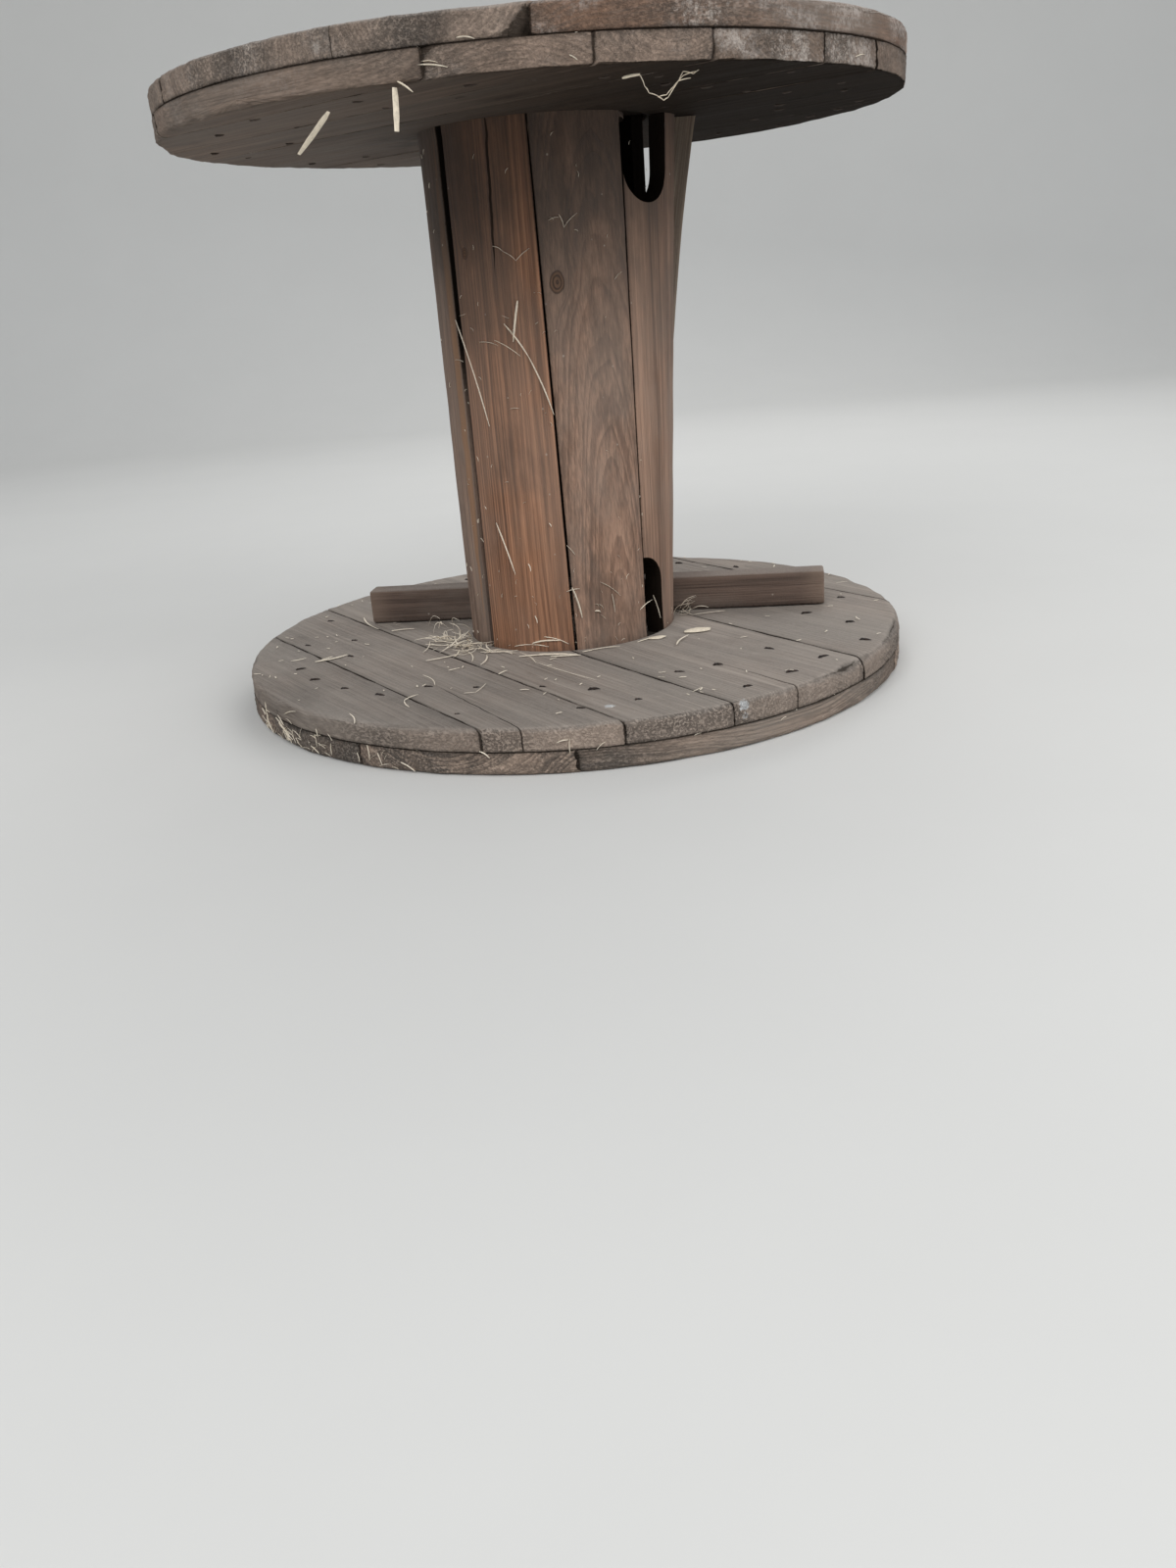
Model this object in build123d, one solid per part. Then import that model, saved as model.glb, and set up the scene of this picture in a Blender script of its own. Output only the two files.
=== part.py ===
from build123d import *

import os
from collections import namedtuple
from math import asin, atan2, cos, degrees, radians, sin, sqrt

# A wooden cable drum that stands on its end: two flanges of crossed boards, clamped by tie rods on a
# barrel of staves. Millimetres, +Z up. The origin is the middle of the lower flange's bottom face.
# An azimuth is an angle in degrees round the barrel, 0 at the front (-Y) and growing towards +X.

# Flanges
FLANGE_DIAMETER = 800.0
PLY_THICKNESS = 25.0
CLEAR_WIDTH = 560.0  # between the flanges, where the cable is wound
ARBOR_DIAMETER = 80.0
BOARD_ARRIS = 2.0  # worn long edges of the boards
OUTER_RIM_WEAR = 5.0  # worn corner radius of the rim, on the faces turned away from the barrel
INNER_RIM_WEAR = 8.0  # the same on the faces turned to the barrel
PLY_MEETING_WEAR = 1.5  # broken corner of the rim where the two plies meet

# Barrel
BARREL_DIAMETER = 252.0
STAVE_THICKNESS = 25.0
STAVE_ARRIS = 1.5
STAVE_JOINT = 0.6  # joint between two staves
GROOVE_DEPTH = 6.0  # ring groove in both inner plies that takes the ends of the staves
GROOVE_FIT = 0.5
BACK_STAVES = 4
FILLER_WIDTH = 18.5  # the narrow stave that closes the ring
FILLER_BOW = 56.0  # how far the filler has sprung out at its top
SWUNG_ANGLE = 20.6  # how far the slotted stave has turned out about its left edge at its top
SPRUNG_CLEARANCE = 0.3  # from the top of a sprung stave to the flange

# Slots in the staves, open towards the flanges
SLOT_WIDTH = 68.0
UPPER_SLOT_HEIGHT = 88.0
LOWER_SLOT_HEIGHT = 94.0

# Tie rods, with their nuts and washers sunk in the outer plies
ROD_COUNT = 4
ROD_DIAMETER = 12.0
ROD_TO_STAVE = 16.0  # from the rod circle to the flat backs of the staves
ROD_HOLE_FIT = 1.0
WASHER_DIAMETER = 44.0
WASHER_THICKNESS = 4.0
NUT_WIDTH = 19.0  # across flats
NUT_HEIGHT = 10.0
NUT_FIT = 0.3
RECESS_FIT = 4.0
FACE_TO_NUT = 2.0  # how far the nuts lie below the faces that the drum stands on
ROD_POINT = 1.0  # chamfer at both ends, and how far the rods stand out of the nuts

# Cross bar through the foot of the barrel
BAR_ANGLE = -9.1  # its direction, from +X
BAR_LENGTH = 586.0
BAR_SHIFT = 20.0  # its middle, towards its right end
BAR_HEIGHT = 43.0
BAR_ARRIS = 2.5
BAR_TO_ARBOR = 4.0
BAR_TO_ROD = 3.0
BAR_SLOT_FRONT_PLAY = 12.0
BAR_SLOT_BACK_PLAY = 4.0
BAR_TO_FILLER = 1.0

# Directions across the boards of each ply, from +X
LOWER_OUTER_ANGLE = -57.0
LOWER_INNER_ANGLE = 33.0
UPPER_INNER_ANGLE = 50.0
UPPER_OUTER_ANGLE = -40.0

# The two joints that pass close to the rod holes, measured from the nearest of them
LOWER_JOINT_TO_HOLE = 3.4
UPPER_JOINT_TO_HOLE = 4.4

# A joint between two boards: its place across the ply and how far it has opened.
BoardJoint = namedtuple("BoardJoint", "place gap")

# A joint between two staves: its azimuth and gap at the foot and at the top.
StaveJoint = namedtuple("StaveJoint", "foot top foot_gap top_gap")

# A split that runs in from the rim: its place across the ply, its length from the rim, its width at the
# rim, and which end of the boards it is at (-1 or 1).
Split = namedtuple("Split", "place length width end")

# A corner that has broken off a board where a joint meets the rim: the board's number, the side of the
# board that the joint is on (-1 or 1), the end of the board, whether it broke from the lower or the upper
# face (-1 or 1), and its size across the board, up and along the board.
Chip = namedtuple("Chip", "board side end face width height depth")

# A ply: the name of its boards, the height of its lower face, the angle of the direction across its
# boards, its joints, splits and chips, the side that its open face is on and the wear of its rim there.
Ply = namedtuple("Ply", "name base across joints splits chips open_side wear")

# Values that follow from the sizes above
FLANGE_RADIUS = FLANGE_DIAMETER / 2
BARREL_RADIUS = BARREL_DIAMETER / 2
ARBOR_RADIUS = ARBOR_DIAMETER / 2
FLANGE_THICKNESS = 2 * PLY_THICKNESS
HEIGHT = 2 * FLANGE_THICKNESS + CLEAR_WIDTH
UNDERSIDE = FLANGE_THICKNESS + CLEAR_WIDTH
STAVE_FOOT = FLANGE_THICKNESS - GROOVE_DEPTH
STAVE_TOP = UNDERSIDE + GROOVE_DEPTH
SPRUNG_TOP = UNDERSIDE - SPRUNG_CLEARANCE
STAVE_BACK = BARREL_RADIUS - STAVE_THICKNESS
ROD_CIRCLE_RADIUS = STAVE_BACK - ROD_TO_STAVE
RECESS_DEPTH = FACE_TO_NUT + NUT_HEIGHT + WASHER_THICKNESS
BAR_FRONT = ARBOR_RADIUS + BAR_TO_ARBOR
BAR_BACK = ROD_CIRCLE_RADIUS - ROD_DIAMETER / 2 - BAR_TO_ROD
OVERRUN = 10.0  # how far a cutter stands out past what it cuts
FULL_TURN = 360.0
STANDING = (Align.CENTER, Align.CENTER, Align.MIN)

def rod_azimuths():
    """The rods stand in line with the bar and square to it, so that it passes between them."""
    return [BAR_ANGLE + FULL_TURN * k / ROD_COUNT for k in range(ROD_COUNT)]


def outermost_rod(across):
    """How far the outermost rods stand from the axis, across the boards of a ply."""
    return max(ROD_CIRCLE_RADIUS * sin(radians(azimuth - across)) for azimuth in rod_azimuths())


def beside_rods(across, distance):
    """The place of a joint that passes the outermost rod holes at a distance, outside them or inside."""
    hole = (ROD_DIAMETER + ROD_HOLE_FIT) / 2
    return outermost_rod(across) + distance + (hole if distance > 0 else -hole)


LOWER_OUTER = Ply(
    "lower_outer_board",
    0.0,
    LOWER_OUTER_ANGLE,
    (
        BoardJoint(-0.5625 * FLANGE_RADIUS, 1.5),
        BoardJoint(-0.28 * FLANGE_RADIUS, 2.0),
        BoardJoint(0.3675 * FLANGE_RADIUS, 3.0),
        BoardJoint(0.825 * FLANGE_RADIUS, 2.0),
    ),
    (),
    (),
    "below",
    OUTER_RIM_WEAR,
)
LOWER_INNER = Ply(
    "lower_inner_board",
    PLY_THICKNESS,
    LOWER_INNER_ANGLE,
    (
        BoardJoint(-0.735 * FLANGE_RADIUS, 3.0),
        BoardJoint(-0.4525 * FLANGE_RADIUS, 3.5),
        BoardJoint(-beside_rods(LOWER_INNER_ANGLE, LOWER_JOINT_TO_HOLE), 3.0),
        BoardJoint(0.305 * FLANGE_RADIUS, 4.0),
        BoardJoint(0.8125 * FLANGE_RADIUS, 3.0),
    ),
    (Split(-0.6525 * FLANGE_RADIUS, 235.0, 4.0, -1), Split(0.02 * FLANGE_RADIUS, 120.0, 5.0, -1)),
    (),
    "above",
    INNER_RIM_WEAR,
)
UPPER_INNER = Ply(
    "upper_inner_board",
    UNDERSIDE,
    UPPER_INNER_ANGLE,
    (
        BoardJoint(-0.8825 * FLANGE_RADIUS, 3.0),
        BoardJoint(-0.6675 * FLANGE_RADIUS, 3.0),
        BoardJoint(-0.4525 * FLANGE_RADIUS, 4.0),
        BoardJoint(-beside_rods(UPPER_INNER_ANGLE, -UPPER_JOINT_TO_HOLE), 3.0),
        BoardJoint(0.075 * FLANGE_RADIUS, 7.0),
        BoardJoint(0.685 * FLANGE_RADIUS, 3.0),
    ),
    (),
    (Chip(2, -1, -1, 1, 4.6, 8.0, 25.0),),
    "below",
    INNER_RIM_WEAR,
)
UPPER_OUTER = Ply(
    "upper_outer_board",
    UNDERSIDE + PLY_THICKNESS,
    UPPER_OUTER_ANGLE,
    (
        BoardJoint(-0.825 * FLANGE_RADIUS, 2.0),
        BoardJoint(-0.35 * FLANGE_RADIUS, 3.0),
        BoardJoint(0.28 * FLANGE_RADIUS, 2.5),
        BoardJoint(0.65 * FLANGE_RADIUS, 3.0),
    ),
    (),
    (Chip(4, 1, -1, -1, 12.0, 22.0, 25.0),),
    "above",
    OUTER_RIM_WEAR,
)


def on_barrel(azimuth, radius, height=0.0):
    """The point at an azimuth and a distance from the axis."""
    angle = radians(azimuth)
    return Vector(radius * sin(angle), -radius * cos(angle), height)


def turned(azimuth):
    """Turns what was made at the front of the drum round to an azimuth."""
    return Rot(0, 0, azimuth)


def arc_angle(length):
    """The angle of a length along the outside of the barrel."""
    return degrees(length / BARREL_RADIUS)


def bar_exit(distance, side):
    """Azimuth where a plane along the bar leaves the barrel, on its right (1) or left (-1)."""
    along = side * sqrt(BARREL_RADIUS**2 - distance**2)
    angle = radians(BAR_ANGLE)
    x = along * cos(angle) - distance * sin(angle)
    y = along * sin(angle) + distance * cos(angle)
    return degrees(atan2(x, -y))


def worn_disc(ply):
    """The round of one ply: its open corner is worn round, the one at the other ply only broken."""
    disc = Pos(0, 0, ply.base) * Cylinder(FLANGE_RADIUS, PLY_THICKNESS, align=STANDING)
    rim = disc.edges().filter_by(GeomType.CIRCLE).sort_by(Axis.Z)
    open_end, meeting_end = (-1, 0) if ply.open_side == "above" else (0, -1)
    disc = chamfer(rim[meeting_end], PLY_MEETING_WEAR)
    rim = disc.edges().filter_by(GeomType.CIRCLE).sort_by(Axis.Z)
    return fillet(rim[open_end], ply.wear)


def board_strip(ply, start, end):
    """A straight board between two places across its ply, with worn long edges."""
    blank = Rectangle(end - start, PLY_THICKNESS)
    section = chamfer(blank.vertices(), BOARD_ARRIS)
    strip = extrude(Plane.XZ * section, FLANGE_RADIUS + OVERRUN, both=True)
    middle = (start + end) / 2
    return turned(ply.across) * Pos(middle, 0, ply.base + PLY_THICKNESS / 2) * strip


def rim_reach(place):
    """How far the rim is from the middle, along the boards, at a place across them."""
    return sqrt(FLANGE_RADIUS**2 - place**2)


def split_cutter(ply, split):
    """A thin wedge that opens towards the rim."""
    rim = rim_reach(split.place) + OVERRUN
    length = split.length + OVERRUN
    wedge = Polygon((0, -length), (split.width / 2, 0), (-split.width / 2, 0), align=None)
    wedge = Pos(split.place, split.end * rim) * (Rot(0, 0, 0 if split.end > 0 else 180) * wedge)
    return turned(ply.across) * Pos(0, 0, ply.base) * extrude(wedge, PLY_THICKNESS)


def chip_cutter(ply, chip, edge):
    """A three-sided pyramid whose slanting face cuts the corner off, and whose tip stands out past it."""
    sizes = (chip.width, chip.height, chip.depth)
    beyond = 1 + sum(OVERRUN / size for size in sizes)
    across, up, along = (size * beyond for size in sizes)
    foot = Wire(Polyline((0, 0, 0), (across, 0, 0), (0, up, 0), close=True).edges())
    pyramid = Solid.make_loft([foot, Vertex(0, 0, along)], ruled=True)
    pyramid = Plane((0, 0, 0), x_dir=(1, 0, 0), z_dir=(0, -1, 0)) * (Pos(-OVERRUN, -OVERRUN, -OVERRUN) * pyramid)
    if chip.side > 0:
        pyramid = pyramid.mirror(Plane.YZ)
    if chip.end < 0:
        pyramid = pyramid.mirror(Plane.XZ)
    if chip.face > 0:
        pyramid = pyramid.mirror(Plane.XY)
    level = ply.base if chip.face < 0 else ply.base + PLY_THICKNESS
    return turned(ply.across) * Pos(edge, chip.end * rim_reach(edge), level) * pyramid


def rod_cutters(base, height, diameter):
    """Round holes at the places of the tie rods."""
    hole = Pos(0, -ROD_CIRCLE_RADIUS, base) * Cylinder(diameter / 2, height, align=STANDING)
    return [turned(azimuth) * hole for azimuth in rod_azimuths()]


def groove_cutter(base):
    """The ring groove that takes the ends of the staves."""
    ring = Cylinder(BARREL_RADIUS + GROOVE_FIT, GROOVE_DEPTH, align=STANDING)
    ring -= Cylinder(STAVE_BACK - GROOVE_FIT, GROOVE_DEPTH, align=STANDING)
    return Pos(0, 0, base) * ring


def ply_cutters(ply):
    """What is cut out of a ply: arbor bore, rod holes, and its groove or its nut recesses."""
    cutters = [Pos(0, 0, ply.base) * Cylinder(ARBOR_RADIUS, PLY_THICKNESS, align=STANDING)]
    cutters += rod_cutters(ply.base, PLY_THICKNESS, ROD_DIAMETER + ROD_HOLE_FIT)
    cutters += [split_cutter(ply, split) for split in ply.splits]
    recess_diameter = WASHER_DIAMETER + RECESS_FIT
    if ply is LOWER_INNER:
        cutters.append(groove_cutter(STAVE_FOOT))
    if ply is UPPER_INNER:
        cutters.append(groove_cutter(UNDERSIDE))
    if ply is LOWER_OUTER:
        cutters += rod_cutters(0, RECESS_DEPTH, recess_diameter)
    if ply is UPPER_OUTER:
        cutters += rod_cutters(HEIGHT - RECESS_DEPTH, RECESS_DEPTH, recess_diameter)
    return cutters


def ply_boards(ply):
    """All boards of a ply, in order across it."""
    disc = worn_disc(ply)
    starts = [-FLANGE_RADIUS - OVERRUN]
    starts += [joint.place + joint.gap / 2 for joint in ply.joints]
    ends = [joint.place - joint.gap / 2 for joint in ply.joints]
    ends.append(FLANGE_RADIUS + OVERRUN)
    boards = {}
    for number, (start, end) in enumerate(zip(starts, ends), 1):
        board = disc & board_strip(ply, start, end)
        for cutter in ply_cutters(ply):
            board -= cutter
        for chip in ply.chips:
            if chip.board == number:
                board -= chip_cutter(ply, chip, start if chip.side < 0 else end)
        boards[f"{ply.name}_{number}"] = board
    return boards


def stave_section(start, end, height):
    """Crowned outside, radial sides with worn corners and a flat back, between two azimuths."""
    back_radius = STAVE_BACK / cos(radians((end - start) / 2))
    shoulder = BARREL_RADIUS - STAVE_ARRIS
    first, last = start + arc_angle(STAVE_ARRIS), end - arc_angle(STAVE_ARRIS)
    face = ThreePointArc(
        on_barrel(first, BARREL_RADIUS, height),
        on_barrel((start + end) / 2, BARREL_RADIUS, height),
        on_barrel(last, BARREL_RADIUS, height),
    )
    sides = Polyline(
        on_barrel(last, BARREL_RADIUS, height),
        on_barrel(end, shoulder, height),
        on_barrel(end, back_radius, height),
        on_barrel(start, back_radius, height),
        on_barrel(start, shoulder, height),
        on_barrel(first, BARREL_RADIUS, height),
    )
    return Wire([*face.edges(), *sides.edges()])


def barrel_joints():
    """The joints round the barrel, from the wide one at the front left, and back to it."""
    wide = StaveJoint(-51.5, -51.5, 5.0, 10.0)
    front = StaveJoint(0.5, -2.5, 3.0, 1.0)
    slotted = StaveJoint(44.0, 46.5, STAVE_JOINT, STAVE_JOINT)
    after_filler = bar_exit(BAR_FRONT, 1) - arc_angle(BAR_TO_FILLER)
    before_filler = after_filler - arc_angle(FILLER_WIDTH)
    back_start = after_filler
    back_angle = (FULL_TURN + wide.foot - back_start) / BACK_STAVES
    places = [before_filler, after_filler] + [back_start + back_angle * k for k in range(1, BACK_STAVES)]
    plain = [StaveJoint(place, place, STAVE_JOINT, STAVE_JOINT) for place in places]
    closing = StaveJoint(FULL_TURN + wide.foot, FULL_TURN + wide.top, wide.foot_gap, wide.top_gap)
    return [wide, front, slotted, *plain, closing]


def stave_limits(joint, following):
    """Azimuths of a stave's two sides at its foot and at its top."""
    foot = (joint.foot + arc_angle(joint.foot_gap) / 2, following.foot - arc_angle(following.foot_gap) / 2)
    top = (joint.top + arc_angle(joint.top_gap) / 2, following.top - arc_angle(following.top_gap) / 2)
    return foot, top


def straight_stave(foot, top):
    """A stave that stands in both grooves."""
    return Solid.make_loft(
        [stave_section(*foot, STAVE_FOOT), stave_section(*top, STAVE_TOP)], ruled=True
    )


def swing_axis(top):
    """The left edge of the slotted stave at its top, about which it has turned out."""
    return Axis(on_barrel(top[0], BARREL_RADIUS), (0, 0, 1))


def swung_stave(foot, top):
    """The slotted stave: its foot is in the groove and its top has turned out of it."""
    high = stave_section(*top, SPRUNG_TOP).rotate(swing_axis(top), -SWUNG_ANGLE)
    return Solid.make_loft([stave_section(*foot, STAVE_FOOT), high], ruled=True)


def bowed_stave(foot):
    """The filler: a slat held at its foot that bends outwards along an arc."""
    rise = SPRUNG_TOP - STAVE_FOOT
    azimuth = sum(foot) / 2
    radius = (rise**2 + FILLER_BOW**2) / (2 * FILLER_BOW)
    centre_y = -BARREL_RADIUS - radius
    half_turn = asin(rise / radius) / 2
    middle = Vector(0, centre_y + radius * cos(half_turn), STAVE_FOOT + radius * sin(half_turn))
    over = asin((rise + OVERRUN) / radius)
    end = Vector(0, centre_y + radius * cos(over), STAVE_FOOT + radius * sin(over))
    path = ThreePointArc((0, -BARREL_RADIUS, STAVE_FOOT), middle, end)
    section = Face(turned(-azimuth) * stave_section(*foot, STAVE_FOOT))
    slat = sweep(section, path=path)
    slat -= Pos(0, 0, SPRUNG_TOP + HEIGHT / 2) * Box(2 * FLANGE_RADIUS, 2 * FLANGE_RADIUS, HEIGHT)
    return turned(azimuth) * slat


def slot_cutter(width, height, depth):
    """A slot that stands on the XY plane and has a round top, cut along Y."""
    radius = width / 2
    profile = Pos(0, height - radius) * Circle(radius)
    profile += Pos(0, (height - radius - OVERRUN) / 2) * Rectangle(width, height - radius + OVERRUN)
    return extrude(Plane.XZ * profile, depth, both=True)


def lower_slot(foot):
    """The lower slot of the slotted stave: the right half of a slot that is centred on its left edge."""
    cutter = slot_cutter(SLOT_WIDTH, LOWER_SLOT_HEIGHT, STAVE_THICKNESS + OVERRUN)
    return turned(foot[0]) * Pos(0, -BARREL_RADIUS, FLANGE_THICKNESS) * cutter


def upper_slot(top):
    """The upper slot of the slotted stave, against its left edge and turned out with it."""
    azimuth = top[0] + arc_angle(SLOT_WIDTH / 2)
    cutter = Rot(0, 180, 0) * slot_cutter(SLOT_WIDTH, UPPER_SLOT_HEIGHT, STAVE_THICKNESS + OVERRUN)
    cutter = turned(azimuth) * Pos(0, -BARREL_RADIUS, UNDERSIDE) * cutter
    return cutter.rotate(swing_axis(top), -SWUNG_ANGLE)


def bar_slot():
    """The slot through the back staves that the bar passes through."""
    front, back = BAR_FRONT - BAR_SLOT_FRONT_PLAY, BAR_BACK + BAR_SLOT_BACK_PLAY
    cutter = slot_cutter(back - front, LOWER_SLOT_HEIGHT, BARREL_RADIUS + OVERRUN)
    return Rot(0, 0, BAR_ANGLE) * Pos(0, (front + back) / 2, FLANGE_THICKNESS) * Rot(0, 0, 90) * cutter


def staves():
    """All staves, in order round the barrel from the wide joint at its front left."""
    joints = barrel_joints()
    limits = [stave_limits(joint, following) for joint, following in zip(joints, joints[1:])]
    slotted, filler = limits[2], limits[3]
    made = [straight_stave(*pair) for pair in limits[:2]]
    made.append(swung_stave(*slotted) - lower_slot(slotted[0]) - upper_slot(slotted[1]))
    made.append(bowed_stave(filler[0]))
    made += [straight_stave(*pair) - bar_slot() for pair in limits[4:]]
    return {f"stave_{number}": stave for number, stave in enumerate(made, 1)}


def cross_bar():
    """A batten that lies on the lower flange and passes through the barrel behind its axis."""
    section = Plane.YZ * RectangleRounded(BAR_BACK - BAR_FRONT, BAR_HEIGHT, BAR_ARRIS)
    bar = extrude(section, BAR_LENGTH / 2, both=True)
    middle = Pos(BAR_SHIFT, (BAR_FRONT + BAR_BACK) / 2, FLANGE_THICKNESS + BAR_HEIGHT / 2)
    return {"cross_bar": Rot(0, 0, BAR_ANGLE) * middle * bar}


def tie_rod():
    """A straight rod with a chamfer at each end, at the front of the drum."""
    length = HEIGHT - 2 * (FACE_TO_NUT - ROD_POINT)
    rod = Pos(0, -ROD_CIRCLE_RADIUS, HEIGHT / 2) * Cylinder(ROD_DIAMETER / 2, length)
    return chamfer(rod.edges().filter_by(GeomType.CIRCLE), ROD_POINT)


def washer():
    """A plate washer whose lower face is at height zero."""
    blank = Circle(WASHER_DIAMETER / 2) - Circle((ROD_DIAMETER + ROD_HOLE_FIT) / 2)
    return Pos(0, -ROD_CIRCLE_RADIUS) * extrude(blank, WASHER_THICKNESS)


def nut():
    """A hexagon nut whose lower face is at height zero."""
    blank = RegularPolygon(NUT_WIDTH / 2, 6, major_radius=False) - Circle((ROD_DIAMETER + NUT_FIT) / 2)
    return Pos(0, -ROD_CIRCLE_RADIUS) * extrude(blank, NUT_HEIGHT)


def fastenings():
    """The tie rods with a nut and a washer at each end."""
    levels = {
        "lower_nut": (nut(), FACE_TO_NUT),
        "lower_washer": (washer(), FACE_TO_NUT + NUT_HEIGHT),
        "tie_rod": (tie_rod(), 0),
        "upper_washer": (washer(), HEIGHT - RECESS_DEPTH),
        "upper_nut": (nut(), HEIGHT - FACE_TO_NUT - NUT_HEIGHT),
    }
    made = {}
    for number, azimuth in enumerate(rod_azimuths(), 1):
        for name, (shape, height) in levels.items():
            made[f"{name}_{number}"] = turned(azimuth) * Pos(0, 0, height) * shape
    return made


def main():
    """Makes every piece and writes it to its own file."""
    pieces = {}
    for ply in (LOWER_OUTER, LOWER_INNER, UPPER_INNER, UPPER_OUTER):
        pieces.update(ply_boards(ply))
    pieces.update(staves())
    pieces.update(cross_bar())
    pieces.update(fastenings())
    os.makedirs("parts", exist_ok=True)
    for name, piece in pieces.items():
        export_step(piece, f"parts/{name}.step")


if __name__ == "__main__":
    main()
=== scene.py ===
from math import cos, pi, radians, sin, sqrt

import bmesh
import bpy
import numpy as np
from mathutils import Matrix, Vector


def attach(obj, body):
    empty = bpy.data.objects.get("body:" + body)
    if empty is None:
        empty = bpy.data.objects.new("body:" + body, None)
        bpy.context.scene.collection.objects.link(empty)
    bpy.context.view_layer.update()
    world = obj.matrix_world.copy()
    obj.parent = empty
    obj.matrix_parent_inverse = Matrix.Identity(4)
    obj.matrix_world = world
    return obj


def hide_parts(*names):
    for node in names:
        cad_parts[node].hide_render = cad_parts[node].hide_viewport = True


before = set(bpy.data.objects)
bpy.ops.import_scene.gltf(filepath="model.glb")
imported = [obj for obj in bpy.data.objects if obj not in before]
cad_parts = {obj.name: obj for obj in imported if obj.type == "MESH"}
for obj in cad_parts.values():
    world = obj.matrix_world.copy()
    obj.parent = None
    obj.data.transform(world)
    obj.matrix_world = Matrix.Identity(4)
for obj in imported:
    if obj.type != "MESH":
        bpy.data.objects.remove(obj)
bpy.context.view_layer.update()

bl_info = {
    "name": "Wooden Cable Drum",
    "version": (1, 0, 0),
    "blender": (4, 5, 0),
    "location": "3D View > Sidebar > Cable Drum",
    "description": "Builds a weathered wooden cable drum with its boards, staves, rods and nails",
    "category": "Add Mesh",
}

MM = 0.001

# Sizes that the CAD fixes, in millimetres. An azimuth is 0 at the front (-Y) and grows towards +X.
FLANGE_RADIUS = 400.0
PLY = 25.0
HEIGHT = 660.0
FLANGE_TOP = 50.0
UNDERSIDE = 610.0
GROOVE = 6.0
BARREL_RADIUS = 126.0
STAVE_BACK = 101.0
STAVE_FOOT = FLANGE_TOP - GROOVE
STAVE_TOP = UNDERSIDE + GROOVE
SPRUNG_TOP = 609.7
SLOTTED, FILLER = 3, 4
SWING = radians(20.6)
BOW = 56.0
SLOT_WIDTH = 68.0
SLOT_TOP = 144.0
ARBOR_RADIUS = 40.0
ROD_CIRCLE = 85.0
ROD_RADIUS = 6.0
ROD_HOLE = 6.5
RECESS_RADIUS = 24.0
RECESS_DEPTH = 16.0
ROD_ANGLES = (-9.1, 80.9, 170.9, 260.9)
BAR_ANGLE = radians(-9.1)
BAR_ENDS = (-273.0, 313.0)
BAR_FRONT, BAR_BACK, BAR_TOP = 44.0, 76.0, 93.0
BAR_SLOT = (32.0, 80.0)

# Share of each joint's gap that the worn, dusty edges leave open.
OPEN_GAP = 0.4
# Each ply: height of its lower face, angle of the direction across its boards, joints as place and gap,
# the side its open face is on, and the wear of its rim there.
PLIES = {
    "lower_outer_board": (0.0, -57.0, ((-225, 1.5), (-112, 2), (147, 3), (330, 2)), -1, 5.0),
    "lower_inner_board": (25.0, 33.0, ((-294, 3), (-181, 3.5), (-72.97, 3), (122, 4), (325, 3)), 1, 8.0),
    "upper_inner_board": (
        610.0, 50.0, ((-353, 3), (-267, 3), (-181, 4), (-62.04, 3), (30, 7), (274, 3)), -1, 8.0
    ),
    "upper_outer_board": (635.0, -40.0, ((-330, 2), (-140, 3), (112, 1.0), (260, 3)), 1, 5.0),
}


def linear(red, green, blue):
    """A colour that was read as 0 to 255 display values, as linear light."""
    value = np.array([red, green, blue]) / 255.0
    low, high = value / 12.92, ((value + 0.055) / 1.055) ** 2.4
    return tuple(float(c) for c in np.where(value <= 0.04045, low, high)) + (1.0,)


class DrumColours(bpy.types.PropertyGroup):
    """Colours of the drum's woods, dust, rust and straw."""

    def colour(name, description, *rgb):
        return bpy.props.FloatVectorProperty(
            name=name, description=description, subtype="COLOR", size=4, min=0, max=1, default=linear(*rgb)
        )

    flange: colour("Flange wood", "Weathered wood of the flanges", 150, 139, 129)
    flange_late: colour("Flange grain", "Dark grain of the flanges", 96, 83, 74)
    rim: colour("Rim wood", "Brown wood where the rims are worn", 142, 122, 107)
    under: colour("Underside wood", "Dark wood of the upper flange's underside", 112, 97, 86)
    pine: colour("Stave wood", "Orange brown pine of the staves", 152, 108, 80)
    pine_late: colour("Stave grain", "Dark grain of the staves", 98, 62, 42)
    filler: colour("Filler wood", "Pale wood of the filler slat", 150, 130, 108)
    bar: colour("Bar wood", "Dark wood of the cross bar", 110, 92, 82)
    dust: colour("Dust", "Dust on faces that look up", 160, 152, 144)
    rust: colour("Rust", "Rusted steel of rods, nuts and washers", 96, 58, 38)
    nail: colour("Nails", "Rust black nails", 34, 29, 28)
    straw: colour("Straw", "Dry straw", 248, 236, 216)
    chaff: colour("Splinters", "Fresh splinters and flakes of wood", 242, 229, 207)
    floor: colour("Floor", "Pale floor", 214, 213, 210)


class DrumSizes(bpy.types.PropertyGroup):
    """Sizes of the fine relief that the scene adds to the drum."""

    def length(name, description, default):
        return bpy.props.FloatProperty(
            name=name, description=description, default=default * MM, subtype="DISTANCE", unit="LENGTH",
            min=0.0, precision=4,
        )

    mesh_step: length("Mesh step", "Spacing of the grid on the boards", 5.0)
    rim_relief: length("Rim relief", "How deep the rims are eaten away", 2.2)
    cupping: length("Cupping", "How far a board's middle lies below its edges", 0.8)
    thread_pitch: length("Thread pitch", "Pitch of the thread on the rods", 1.75)


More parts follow.
